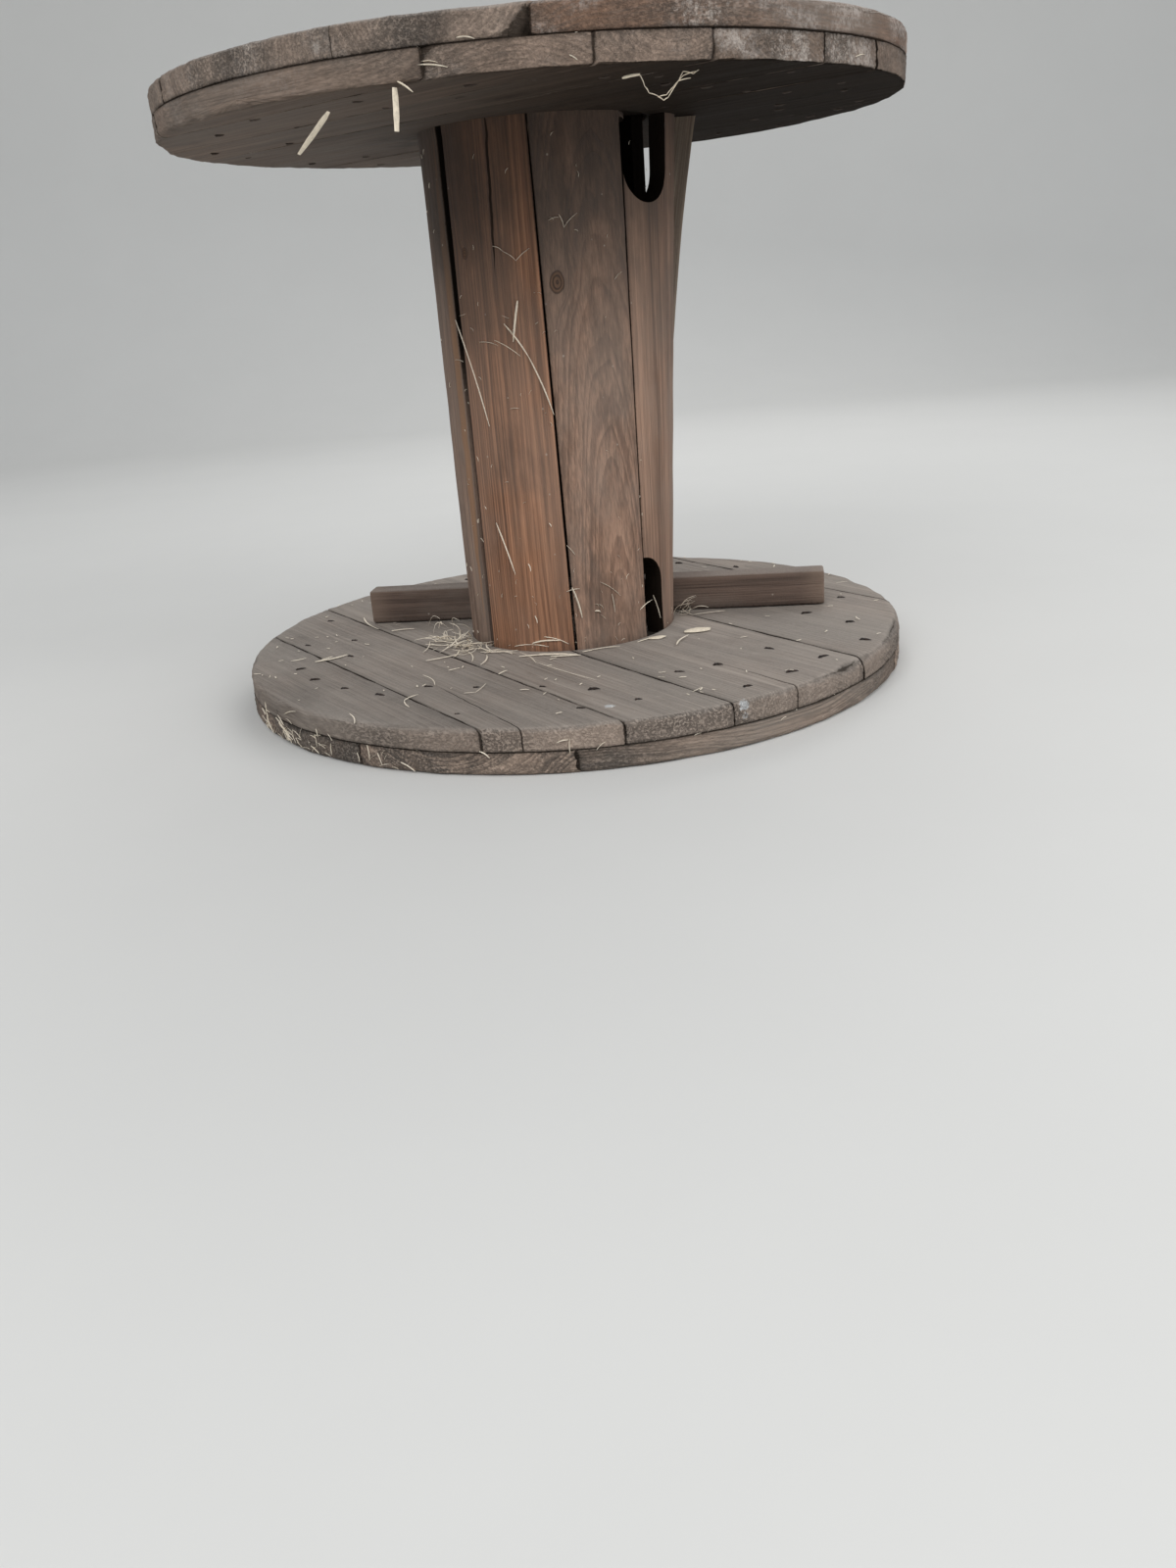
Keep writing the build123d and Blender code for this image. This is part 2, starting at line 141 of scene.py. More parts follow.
def ripples(x, y, wavelength, seed):
    """Smooth noise from -1 to 1: nine sine waves of two variables, each with its own direction, length and
    phase, added up and divided by their strength."""
    rng = np.random.default_rng(seed)
    total = np.zeros(np.broadcast(x, y).shape)
    for _ in range(9):
        angle, phase = rng.uniform(0, 2 * pi, 2)
        wave = 2 * pi / (wavelength * rng.uniform(0.55, 1.9))
        total = total + np.sin(wave * (x * cos(angle) + y * sin(angle)) + phase)
    return total / 4.5


def smooth(value, low, high):
    """Rises from 0 to 1 between two values along a cubic curve with level ends."""
    t = np.clip((value - low) / (high - low), 0.0, 1.0)
    return t * t * (3 - 2 * t)


def spread(start, end, step, near):
    """Places from start to end, even in the middle, with closer ones at given distances from both ends."""
    first, last = start + near[0][-1], end - near[1][-1]
    middle = np.linspace(first, last, max(2, int(round((last - first) / step)) + 1))
    head, tail = start + np.array((0.0, *near[0][:-1])), end - np.array((*near[1][-2::-1], 0.0))
    return np.concatenate([head, middle, tail])


def turned(x, y, angle):
    """A level place turned about the origin by an angle in radians."""
    return x * np.cos(angle) - y * np.sin(angle), x * np.sin(angle) + y * np.cos(angle)


def around(azimuth, radius):
    """The level place at an azimuth in degrees and a distance from the axis."""
    angle = np.radians(azimuth)
    return np.stack([radius * np.sin(angle), -radius * np.cos(angle)], -1)


def about(centre, radius, angle, height):
    """Points at a radius, an angle in radians and a height about an upright line."""
    x, y = centre[0] + radius * np.cos(angle), centre[1] + radius * np.sin(angle)
    return np.stack(np.broadcast_arrays(x, y, height), -1)


def azimuth_of(x, y):
    """The azimuth of a level place in degrees."""
    return np.degrees(np.arctan2(x, -y))


def grid_quads(rows, columns, close_rows=False, close_columns=False):
    """The quads of a grid whose point (i, j) has the number i * columns + j."""
    i = np.arange(rows if close_rows else rows - 1)[:, None]
    j = np.arange(columns if close_columns else columns - 1)[None, :]
    i2, j2 = (i + 1) % rows, (j + 1) % columns
    corners = (i * columns + j, i2 * columns + j, i2 * columns + j2, i * columns + j2)
    return np.stack(corners, axis=-1).reshape(-1, 4)


def grid_border(rows, columns):
    """The numbers of a grid's outer points, in order round it."""
    index = np.arange(rows * columns).reshape(rows, columns)
    return np.concatenate([index[0], index[1:, -1], index[-1, -2::-1], index[-2:0:-1, 0]])


def tube(points):
    """Rows of points that each close on themselves, as points and faces, with a cap on both end rows."""
    rows, columns = points.shape[:2]
    caps = [np.arange(columns)[::-1], (rows - 1) * columns + np.arange(columns)]
    return points.reshape(-1, 3), [*grid_quads(rows, columns, close_columns=True), *caps]


def turned_profile(profile, segments, centre=(0.0, 0.0)):
    """A closed profile of radius and height carried round an upright line: points and quads."""
    angle = np.linspace(0, 2 * pi, segments, endpoint=False)[:, None]
    radius, height = np.array(profile, dtype=float).T
    quads = grid_quads(segments, len(radius), close_rows=True, close_columns=True)
    return about(centre, radius, angle, height).reshape(-1, 3), quads


def joined(parts):
    """Several pairs of points and faces as one."""
    starts = np.cumsum([0] + [len(points) for points, faces in parts])
    faces = [np.asarray(face) + start for start, (_, faces) in zip(starts, parts) for face in faces]
    return np.concatenate([points for points, _ in parts]), faces


def new_piece(name, points, faces, merge=0.0):
    """An object at the origin from points in millimetres and faces. Doubles are merged where the shape has
    poles, and the faces are turned outwards."""
    mesh = bpy.data.meshes.new(name)
    mesh.from_pydata((points * MM).tolist(), [], [face.tolist() for face in faces])
    shape = bmesh.new()
    shape.from_mesh(mesh)
    if merge:
        bmesh.ops.remove_doubles(shape, verts=shape.verts, dist=merge * MM)
        bmesh.ops.dissolve_degenerate(shape, edges=shape.edges, dist=0.5 * merge * MM)
    bmesh.ops.recalc_face_normals(shape, faces=shape.faces)
    shape.to_mesh(mesh)
    shape.free()
    piece = bpy.data.objects.new(name, mesh)
    bpy.context.scene.collection.objects.link(piece)
    return piece


def cut(piece, cutters):
    """Takes cutters out of a piece, keeps the result as its mesh and removes the cutters."""
    for cutter in cutters:
        modifier = piece.modifiers.new("cut", "BOOLEAN")
        modifier.operation, modifier.solver, modifier.object = "DIFFERENCE", "EXACT", cutter
    graph = bpy.context.evaluated_depsgraph_get()
    graph.update()
    mesh = bpy.data.meshes.new_from_object(piece.evaluated_get(graph))
    piece.modifiers.clear()
    old, piece.data = piece.data, mesh
    bpy.data.meshes.remove(old)
    for cutter in cutters:
        bpy.data.objects.remove(cutter)


def coordinates(mesh):
    """The points of a mesh in millimetres."""
    flat = np.empty(len(mesh.vertices) * 3)
    mesh.vertices.foreach_get("co", flat)
    return flat.reshape(-1, 3) / MM


def store(mesh, name, *values):
    """Keeps three numbers a point under a name that materials read."""
    layer = mesh.attributes.new(name, "FLOAT_VECTOR", "POINT")
    layer.data.foreach_set("vector", np.stack(values, -1).astype(np.float32).ravel())


def finish_piece(piece, material, nodes=(), sharp=38.0):
    """Gives a piece its material, smooth shading with sharp corners and its body, and hides its CAD nodes."""
    piece.data.materials.clear()
    piece.data.materials.append(material)
    piece.data.shade_smooth()
    piece.data.set_sharp_from_angle(angle=radians(sharp))
    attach(piece, "root")
    if nodes:
        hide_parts(*nodes)


class Wire:
    """An output socket to reckon with: each sign adds a maths node, for vectors where one side is one."""

    def __init__(self, tree, socket):
        self.tree, self.socket, self.vector = tree, socket, socket.type == "VECTOR"

    def reckon(self, operation, *sides):
        vector = any(isinstance(side, tuple) or getattr(side, "vector", False) for side in sides)
        return (self.tree.vector if vector else self.tree.math)(operation, *sides)

    __add__ = __radd__ = lambda self, other: self.reckon("ADD", self, other)
    __mul__ = lambda self, other: self.reckon("MULTIPLY", self, other)
    __sub__ = lambda self, other: self.reckon("SUBTRACT", self, other)
    __rsub__ = lambda self, other: self.reckon("SUBTRACT", other, self)
    __truediv__ = lambda self, other: self.reckon("DIVIDE", self, other)
    __abs__ = lambda self: self.tree.math("ABSOLUTE", self)

    def length(self):
        return self.tree.vector("LENGTH", self, output="Value")

    def step(self, low, high, to_low=0.0, to_high=1.0):
        """Goes from one value to another where this one goes from low to high, with level ends."""
        inputs = {"Value": self, "From Min": low, "From Max": high, "To Min": to_low, "To Max": to_high}
        return self.tree.add("ShaderNodeMapRange", inputs, interpolation_type="SMOOTHSTEP")


class Tree:
    """Adds nodes to a node tree: wires are linked, and plain values are set."""

    def __init__(self, tree):
        self.tree = tree

    def add(self, kind, inputs=None, output=0, **settings):
        node = self.tree.nodes.new(kind)
        for key, value in settings.items():
            setattr(node, key, value)
        for key, value in (inputs or {}).items():
            self.put(node.inputs[key], value)
        return node if output is None else Wire(self, node.outputs[output])

    def put(self, socket, value):
        if isinstance(value, Wire):
            self.tree.links.new(value.socket, socket)
        else:
            socket.default_value = value

    def wires(self, node):
        return {socket.name: Wire(self, socket) for socket in node.outputs}

    def math(self, operation, *values, clamp=False):
        return self.add("ShaderNodeMath", dict(enumerate(values)), operation=operation, use_clamp=clamp)

    def vector(self, operation, *values, output=0):
        return self.add("ShaderNodeVectorMath", dict(enumerate(values)), output=output, operation=operation)

    def most(self, first, second, clamp=False):
        return self.math("MAXIMUM", first, second, clamp=clamp)

    def split(self, vector):
        return list(self.wires(self.add("ShaderNodeSeparateXYZ", {0: vector}, output=None)).values())

    def attribute(self, name, output="Vector"):
        return self.add("ShaderNodeAttribute", output=output, attribute_name=name)

    def place(self):
        return self.add("ShaderNodeTexCoord", output="Object")

    def noise(self, vector, scale=1.0, detail=2.0, rough=0.5, output="Fac"):
        inputs = {"Vector": vector, "Scale": scale, "Detail": detail, "Roughness": rough}
        return self.add("ShaderNodeTexNoise", inputs, output=output)

    def mix(self, factor, first, second, blend="MIX"):
        inputs = {0: factor, 6: first, 7: second}
        return self.add("ShaderNodeMix", inputs, output=2, data_type="RGBA", blend_type=blend)

    def group(self, name, **inputs):
        """Places a shared group, which is built when it is first asked for."""
        if name not in bpy.data.node_groups:
            GROUPS[name](name)
        node = self.add("ShaderNodeGroup", output=None, node_tree=bpy.data.node_groups[name])
        for key, value in inputs.items():
            self.put(node.inputs[key], value)
        return self.wires(node)

    def out(self, **values):
        for key, value in values.items():
            self.put(self.result.inputs[key], value)

    def surface(self, shader, color, height, strength, depth):
        """Gives a shader its colour and a bump of some depth in metres."""
        bump = self.add("ShaderNodeBump", {"Height": height, "Strength": strength, "Distance": depth})
        self.put(shader.inputs["Base Color"], color)
        self.put(shader.inputs["Normal"], bump)


ORIGIN = (0, 0, 0)
WHITE = (1, 1, 1, 1)
SOCKETS = {0: "NodeSocketFloat", 3: "NodeSocketVector", 4: "NodeSocketColor"}


def new_group(name, outputs, **inputs):
    """A shader node group whose inputs' kinds follow from their first values: the helper, and a wire for
    each input."""
    tree = bpy.data.node_groups.new(name, "ShaderNodeTree")
    for label, value in inputs.items():
        kind = SOCKETS[len(value) if isinstance(value, tuple) else 0]
        tree.interface.new_socket(name=label, in_out="INPUT", socket_type=kind).default_value = value
    for label in outputs.split():
        kind = SOCKETS[4 if label == "Color" else 0]
        tree.interface.new_socket(name=label, in_out="OUTPUT", socket_type=kind)
    t = Tree(tree)
    source = t.wires(t.add("NodeGroupInput", output=None))
    t.result = t.add("NodeGroupOutput", output=None)
    return [t] + [source[label] for label in inputs]


def wood_group(name):
    """Wood grain: growth rings are cylinders about the pith, which runs along the board's Y; noise that is
    stretched along the grain bends them and adds fibres; knots swell them."""
    t, grain, early, late_wood, ring, wander, contrast, fibres, swell = new_group(
        name, "Color Height Late", Grain=ORIGIN, Early=WHITE, LateWood=WHITE, Ring=0.004, Wander=0.006,
        Contrast=0.8, Fibre=0.5, Swell=0.0,
    )
    bend = t.noise(grain * (14, 1.6, 14), output="Color") - (0.5, 0.5, 0.5)
    bent = grain + bend * (wander * 4.0)
    radius = (bent * (1, 0, 1)).length() + swell
    fine = t.noise(grain * (160, 9, 160))
    years = t.noise(t.add("ShaderNodeCombineXYZ", {0: radius * 75.0}))
    part = t.math("FRACT", radius / ring + fine * 0.5 + years * 4.5)
    strong = t.noise(bent * (45, 2.5, 45)).step(0.3, 0.6, 0.4, 1.0)
    late = t.math("MULTIPLY", part.step(0.25, 0.85) * part.step(1.0, 0.93) * strong, contrast, clamp=True)
    fibre = t.noise(grain * (620, 11, 620), detail=3.0, rough=0.65)
    coarse = t.noise(grain * (230, 3.5, 230), rough=0.6)
    broad = t.noise(grain * (38, 1.3, 38))
    shade = (fibre * 0.45 + coarse * 0.35 + broad * 0.35).step(0.42, 0.74, 0.4, 1.4)
    shade = t.mix(fibres, WHITE, t.add("ShaderNodeCombineColor", {0: shade, 1: shade, 2: shade}))
    color = t.mix(1.0, t.mix(late, early, late_wood), shade, "MULTIPLY")
    t.out(Color=color, Height=late * 0.5 + fibre * 0.9 + coarse * 0.5, Late=late)


def knot_group(name):
    """A knot: an ellipse about a place on the board, long along the grain, with rings of its own. Swell
    is how far it pushes the growth rings aside."""
    t, grain, place, radius = new_group(name, "Mask Ring Swell", Grain=ORIGIN, Place=ORIGIN, Radius=0.008)
    rough = t.noise(grain * (90, 60, 90), detail=1.0)
    far = ((grain - place) * (1, 0.72, 0)).length() / radius + (rough - 0.5) * 0.5
    edge = t.math("SUBTRACT", 1.0, abs(far - 1.0) * 6.0, clamp=True)
    wave = t.math("SINE", far * 13.0).step(-0.2, 1.0) * far.step(1.1, 0.9)
    fall = t.math("EXPONENT", t.math("POWER", far, 2.0) * -0.16)
    t.out(Mask=far.step(1.12, 0.9), Ring=t.most(edge, wave), Swell=fall * (radius * 1.6))


def crack_group(name):
    """Seasoning cracks: thin broken lines along the grain, where stretched noise crosses its middle."""
    t, grain, amount = new_group(name, "Mask", Grain=ORIGIN, Amount=0.5)
    field = t.noise(grain * (60, 1.7, 60), detail=2.5, rough=0.55)
    patch = t.noise(grain * (12, 3.5, 12), detail=1.0)
    low = 0.8 - amount * 0.5
    t.out(Mask=abs(field - 0.5).step(0.016, 0.004) * patch.step(low, low + 0.06))


def split_group(name):
    """One long split along the grain from a start to an end, wandering a little and thin at both ends."""
    t, grain, start, end, width = new_group(
        name, "Mask", Grain=ORIGIN, Start=ORIGIN, End=ORIGIN, Width=0.001
    )
    run, here = end - start, (grain - start) * (1, 1, 0)
    length = t.vector("DOT_PRODUCT", run, run, output="Value")
    share = t.vector("DOT_PRODUCT", here, run, output="Value") / length
    side = t.split(t.vector("CROSS_PRODUCT", here, t.vector("NORMALIZE", run)))[2]
    side = abs(side + (t.noise(grain * (0, 26, 0)) - 0.5) * 0.006)
    taper = share.step(0.0, 0.3) * share.step(1.0, 0.7)
    mask = (side / t.most(width * taper, 0.00001)).step(1.2, 0.6)
    t.out(Mask=mask * taper.step(0.0, 0.05))


def blotch_group(name):
    """Stains and weathering: broad noise, a little longer along the grain, as a mask, and fine noise."""
    t, grain, scale, low, high = new_group(name, "Mask Fine", Grain=ORIGIN, Scale=8.0, Low=0.45, High=0.62)
    big = t.noise(grain * (1, 0.45, 1), scale, detail=5.0, rough=0.62)
    t.out(Mask=big.step(low, high), Fine=t.noise(grain, 260.0, rough=0.7))


def dust_and_under_shade_group(name):
    """Dust on faces that look up, thicker in patches, with pale specks anywhere. Below is 1 on faces that
    look down, and the third output is painted shade on those faces, weaker towards the left."""
    t, amount = new_group(name, "Mask Specks Down Below", Amount=0.5)
    place = t.place()
    cells = t.wires(t.add("ShaderNodeTexVoronoi", {"Vector": place, "Scale": 75.0}, output=None))
    chosen = t.add("ShaderNodeSeparateColor", {0: cells["Color"]})
    up = t.split(t.add("ShaderNodeNewGeometry", output="Normal"))[2]
    patch = t.noise(place, 9.0, detail=5.0, rough=0.65).step(0.28, 0.62, 0.45, 1.0)
    grit = t.noise(place, 420.0, rough=0.6).step(0.3, 0.7, 0.65, 1.1)
    mask = t.math("MULTIPLY", up.step(0.25, 0.9) * (patch * grit), amount, clamp=True)
    specks = cells["Distance"].step(0.12, 0.06) * chosen.step(0.9, 0.94)
    below = up.step(-0.45, -0.9)
    t.out(Mask=mask, Specks=specks, Below=below)
    # Painted shade on faces that look down, weaker towards the left.
    t.out(Down=below * t.split(place)[0].step(-0.35, 0.2, 0.25, 1.0))


def rust_group(name):
    """Rust: brown and orange patches with dark pits."""
    t, base, scale, bright = new_group(name, "Color Height", Base=WHITE, Scale=160.0, Bright=1.0)
    coarse = t.noise(t.place(), scale, detail=4.0, rough=0.65)
    pits = t.noise(t.place(), 900.0)
    color = t.mix(coarse.step(0.45, 0.7) * bright, base, (0.30, 0.125, 0.05, 1))
    color = t.mix(pits.step(0.46, 0.32), color, (0.02, 0.015, 0.012, 1))
    t.out(Color=color, Height=coarse + pits * 0.6)


GROUPS = {
    "Wood grain": wood_group, "Knot": knot_group, "Cracks": crack_group, "Split line": split_group,
    "Blotches": blotch_group, "Dust": dust_and_under_shade_group, "Rust": rust_group,
}
# Dark brown of stains, knot rings and torn end grain, also used for painted shade towards the top of the
# staves.
STAIN_AND_SHADE_BROWN = (0.03, 0.022, 0.018, 1)
# Near black of cracks and of painted shade in joints, hollows and on faces that look down.
CRACK_AND_SHADE_BLACK = (0.012, 0.009, 0.007, 1)
KNOT = (0.10, 0.05, 0.025, 1)
SPECK = (0.45, 0.40, 0.34, 1)
RUBBED_CHALK = (0.52, 0.47, 0.43, 1)


def new_material(name, roughness, specular=0.3):
    """A material with a Principled shader: the material, the helper and the shader node."""
    material = bpy.data.materials.new(name)
    material.use_nodes = True
    shader = material.node_tree.nodes["Principled BSDF"]
    shader.inputs["Roughness"].default_value = roughness
    shader.inputs["Specular IOR Level"].default_value = specular
    return material, Tree(material.node_tree), shader


def wood_material(
    name, early, late, ring, contrast, wander=0.006, fibre=0.6, grey=(0.2, 0.19, 0.17, 1), grey_amount=0.4,
    dark_amount=0.5, dust_amount=0.0, end_dark=0.35, end_tint=STAIN_AND_SHADE_BROWN, rough_end=0.0, cracks=0.3,
    relief=0.0008, knots=(), splits=(), streaks=(), splashes=(), shade_top=0.0, chalk=0.0, edge_shade=0.85,
    under_shade=0.0, wall_shade=False,
):
    """Wood of one piece: grain with its knots, grey weathering, dark stains, cracks, painted shade at edges,
    joints and hollows, dark end grain, painted shade and dirt towards the top, painted shade on faces that
    look down, chalk and dried splashes, and dust where it looks up."""
    material, t, shader = new_material(name, 0.82)
    grain = t.attribute("grain")
    # The first value of the wear attribute is painted shade at edges, joints and hollows; the second is the
    # share of end grain.
    edge, end, _ = t.split(t.attribute("wear"))

    def line(start, stop, width):
        return t.group("Split line", Grain=grain, Start=start, End=stop, Width=width)["Mask"]

    marks = [t.group("Knot", Grain=grain, Place=(x, y, 0), Radius=radius) for x, y, radius in knots]
    wood = t.group(
        "Wood grain", Grain=grain, Early=early, LateWood=late, Ring=ring, Wander=wander, Contrast=contrast,
        Fibre=fibre, Swell=sum(knot["Swell"] for knot in marks),
    )
    color, height = wood["Color"], wood["Height"]
    blotch = t.group("Blotches", Grain=grain, Scale=7.0, Low=0.40, High=0.66)
    stain = t.group("Blotches", Grain=grain + (0.7, 0.3, 0.2), Scale=11.0, Low=0.52, High=0.72)
    color = t.mix(blotch["Mask"] * grey_amount, color, grey)
    color = t.mix(stain["Mask"] * dark_amount, color, STAIN_AND_SHADE_BROWN)
    for *place, tint in streaks:
        color = t.mix(line(*place) * 0.6, color, tint)
    color = t.mix(end * end_dark, color, end_tint)
    if rough_end:
        torn = t.noise(grain * (420, 90, 420), detail=4.0, rough=0.7).step(0.44, 0.62)
        torn = torn * end.step(0.08, 0.6) * blotch["Mask"].step(0.0, 1.0, 0.35, 1.0)
        color = t.mix(torn * rough_end, color, STAIN_AND_SHADE_BROWN)
        height = height - torn * 1.6
    # Painted shade and dirt: the wood gets darker towards the top, under the upper flange.
    if shade_top:
        z = t.split(t.place())[2] + (blotch["Fine"] - 0.5) * 0.02 + (blotch["Mask"] - 0.5) * 0.1
        color = t.mix(z.step(0.33, 0.63, 0.0, shade_top), color, STAIN_AND_SHADE_BROWN)
    for knot in marks:
        color = t.mix(knot["Mask"] * 0.65, color, KNOT)
        color = t.mix(knot["Ring"] * 0.8, color, STAIN_AND_SHADE_BROWN)
    crack = t.group("Cracks", Grain=grain, Amount=cracks)["Mask"] * end.step(0.35, 0.1)
    for split in splits:
        crack = t.most(crack, line(*split))
    # Painted shade at edges, joints and hollows, broken up a little, joins the cracks.
    broken = blotch["Fine"].step(0.3, 0.55) * edge.step(0.95, 0.8)
    deep = t.most(crack * 0.85, edge * (1.0 - broken * 0.4) * edge_shade, clamp=True)
    # The dust group gives dust on faces that look up and painted shade on faces that look down.
    dust_and_shade = t.group("Dust", Amount=dust_amount)
    color = t.mix(dust_and_shade["Mask"], color, tuple(bpy.context.scene.drum_colours.dust))
    # Painted shade on faces that look down, where the ply asks for it.
    if under_shade:
        deep = t.most(deep, dust_and_shade["Down"] * under_shade)
    if chalk:
        white = t.group("Blotches", Grain=grain + (0.1, 0.9, 0.6), Scale=22.0, Low=0.47, High=0.66)
        white = white["Mask"] * white["Fine"].step(0.35, 0.6, 0.1, 1.0)
        color = t.mix(white * (chalk - dust_and_shade["Below"] * (0.9 * chalk)), color, RUBBED_CHALK)
    color = t.mix(dust_and_shade["Specks"] * 0.45, color, SPECK)
    for centre, radius, strength, tint in splashes:
        place = t.place()
        ragged = t.noise(place, 260.0, detail=3.0, rough=0.7)
        cover = ((place - centre).length() / radius + (ragged - 0.5) * 2.4).step(1.1, 0.4) * strength
        if radius > 0.012:
            cover = cover * t.noise(place, 105.0, detail=6.0, rough=0.75).step(0.44, 0.6, 0.05, 1.0)
        color = t.mix(cover, color, tint)
    if wall_shade:
        deep = t.most(deep, t.attribute("inner", "Fac"))
    height = height - crack * 3.0 + blotch["Fine"] * 0.35
    # Cracks and painted shade are mixed towards near black here.
    t.surface(shader, t.mix(deep, color, CRACK_AND_SHADE_BLACK), height, 1.0, relief)
    t.put(shader.inputs["Specular IOR Level"], deep.step(0.2, 0.9, 0.3, 0.03))
    t.put(shader.inputs["Roughness"], wood["Late"].step(0.0, 1.0, 0.9, 0.68))
    return material


def steel_material(name, base, scale=160.0, bright=1.0):
    """Rusted steel."""
    material, t, shader = new_material(name, 0.85, 0.35)
    rust = t.group("Rust", Base=base, Scale=scale, Bright=bright)
    t.surface(shader, rust["Color"], rust["Height"], 0.8, 0.0004)
    return material


def dry_material(name, base, dark, stretch=500.0):
    """Straw and splinters: fine stripes of two colours."""
    material, t, shader = new_material(name, 0.75)
    tone = t.noise(t.place(), stretch, detail=3.0, rough=0.6)
    broad = t.noise(t.place(), 30.0, detail=1.0)
    color = t.mix(broad.step(0.45, 0.7) * 0.5, t.mix(tone.step(0.3, 0.75), base, dark), dark)
    t.surface(shader, color, tone, 0.6, 0.0003)
    return material


def tinted(color, factor, toward=None, share=0.0):
    """A colour made lighter or darker, and drawn towards another."""
    value = np.array(color[:3]) * factor
    if toward is not None:
        value = value * (1 - share) + np.array(toward[:3]) * share
    return tuple(float(min(1.0, c)) for c in value) + (1.0,)


def rim_inset(x, y, z, relief, seed):
    """How far the rim is eaten away: long and short ripples along the rim and up its height."""
    along = np.arctan2(y, x) * FLANGE_RADIUS
    wave = 0.55 * ripples(along, z * 2.0, 95.0, seed) + 0.45 * ripples(along, z * 3.0, 26.0, seed + 1)
    return relief * np.clip(0.5 + 0.5 * wave + 0.25 * ripples(along, z * 5.0, 8.0, seed + 2), 0.0, 1.4)


def drop(distance, radius):
    """How deep a corner rounded by a quarter circle lies at a distance from its edge."""
    part = np.clip(radius - distance, 0.0, radius)
    return radius - np.sqrt(np.maximum(radius**2 - part**2, 0.0))


# Distances from a joint, from the rim and from a board's end where the grid of a board has closer lines.
NEAR_JOINT = (0.5, 1.2, 2.2, 3.6, 6.0)
NEAR_RIM = (0.05, 0.4, 1.0, 2.0, 3.4, 5.2, 7.4, 10.0, 14.0)
NEAR_END = (0.6, 1.5, 2.8, 4.6, 7.0, 10.0, 15.0)
WALL_ROWS = 6


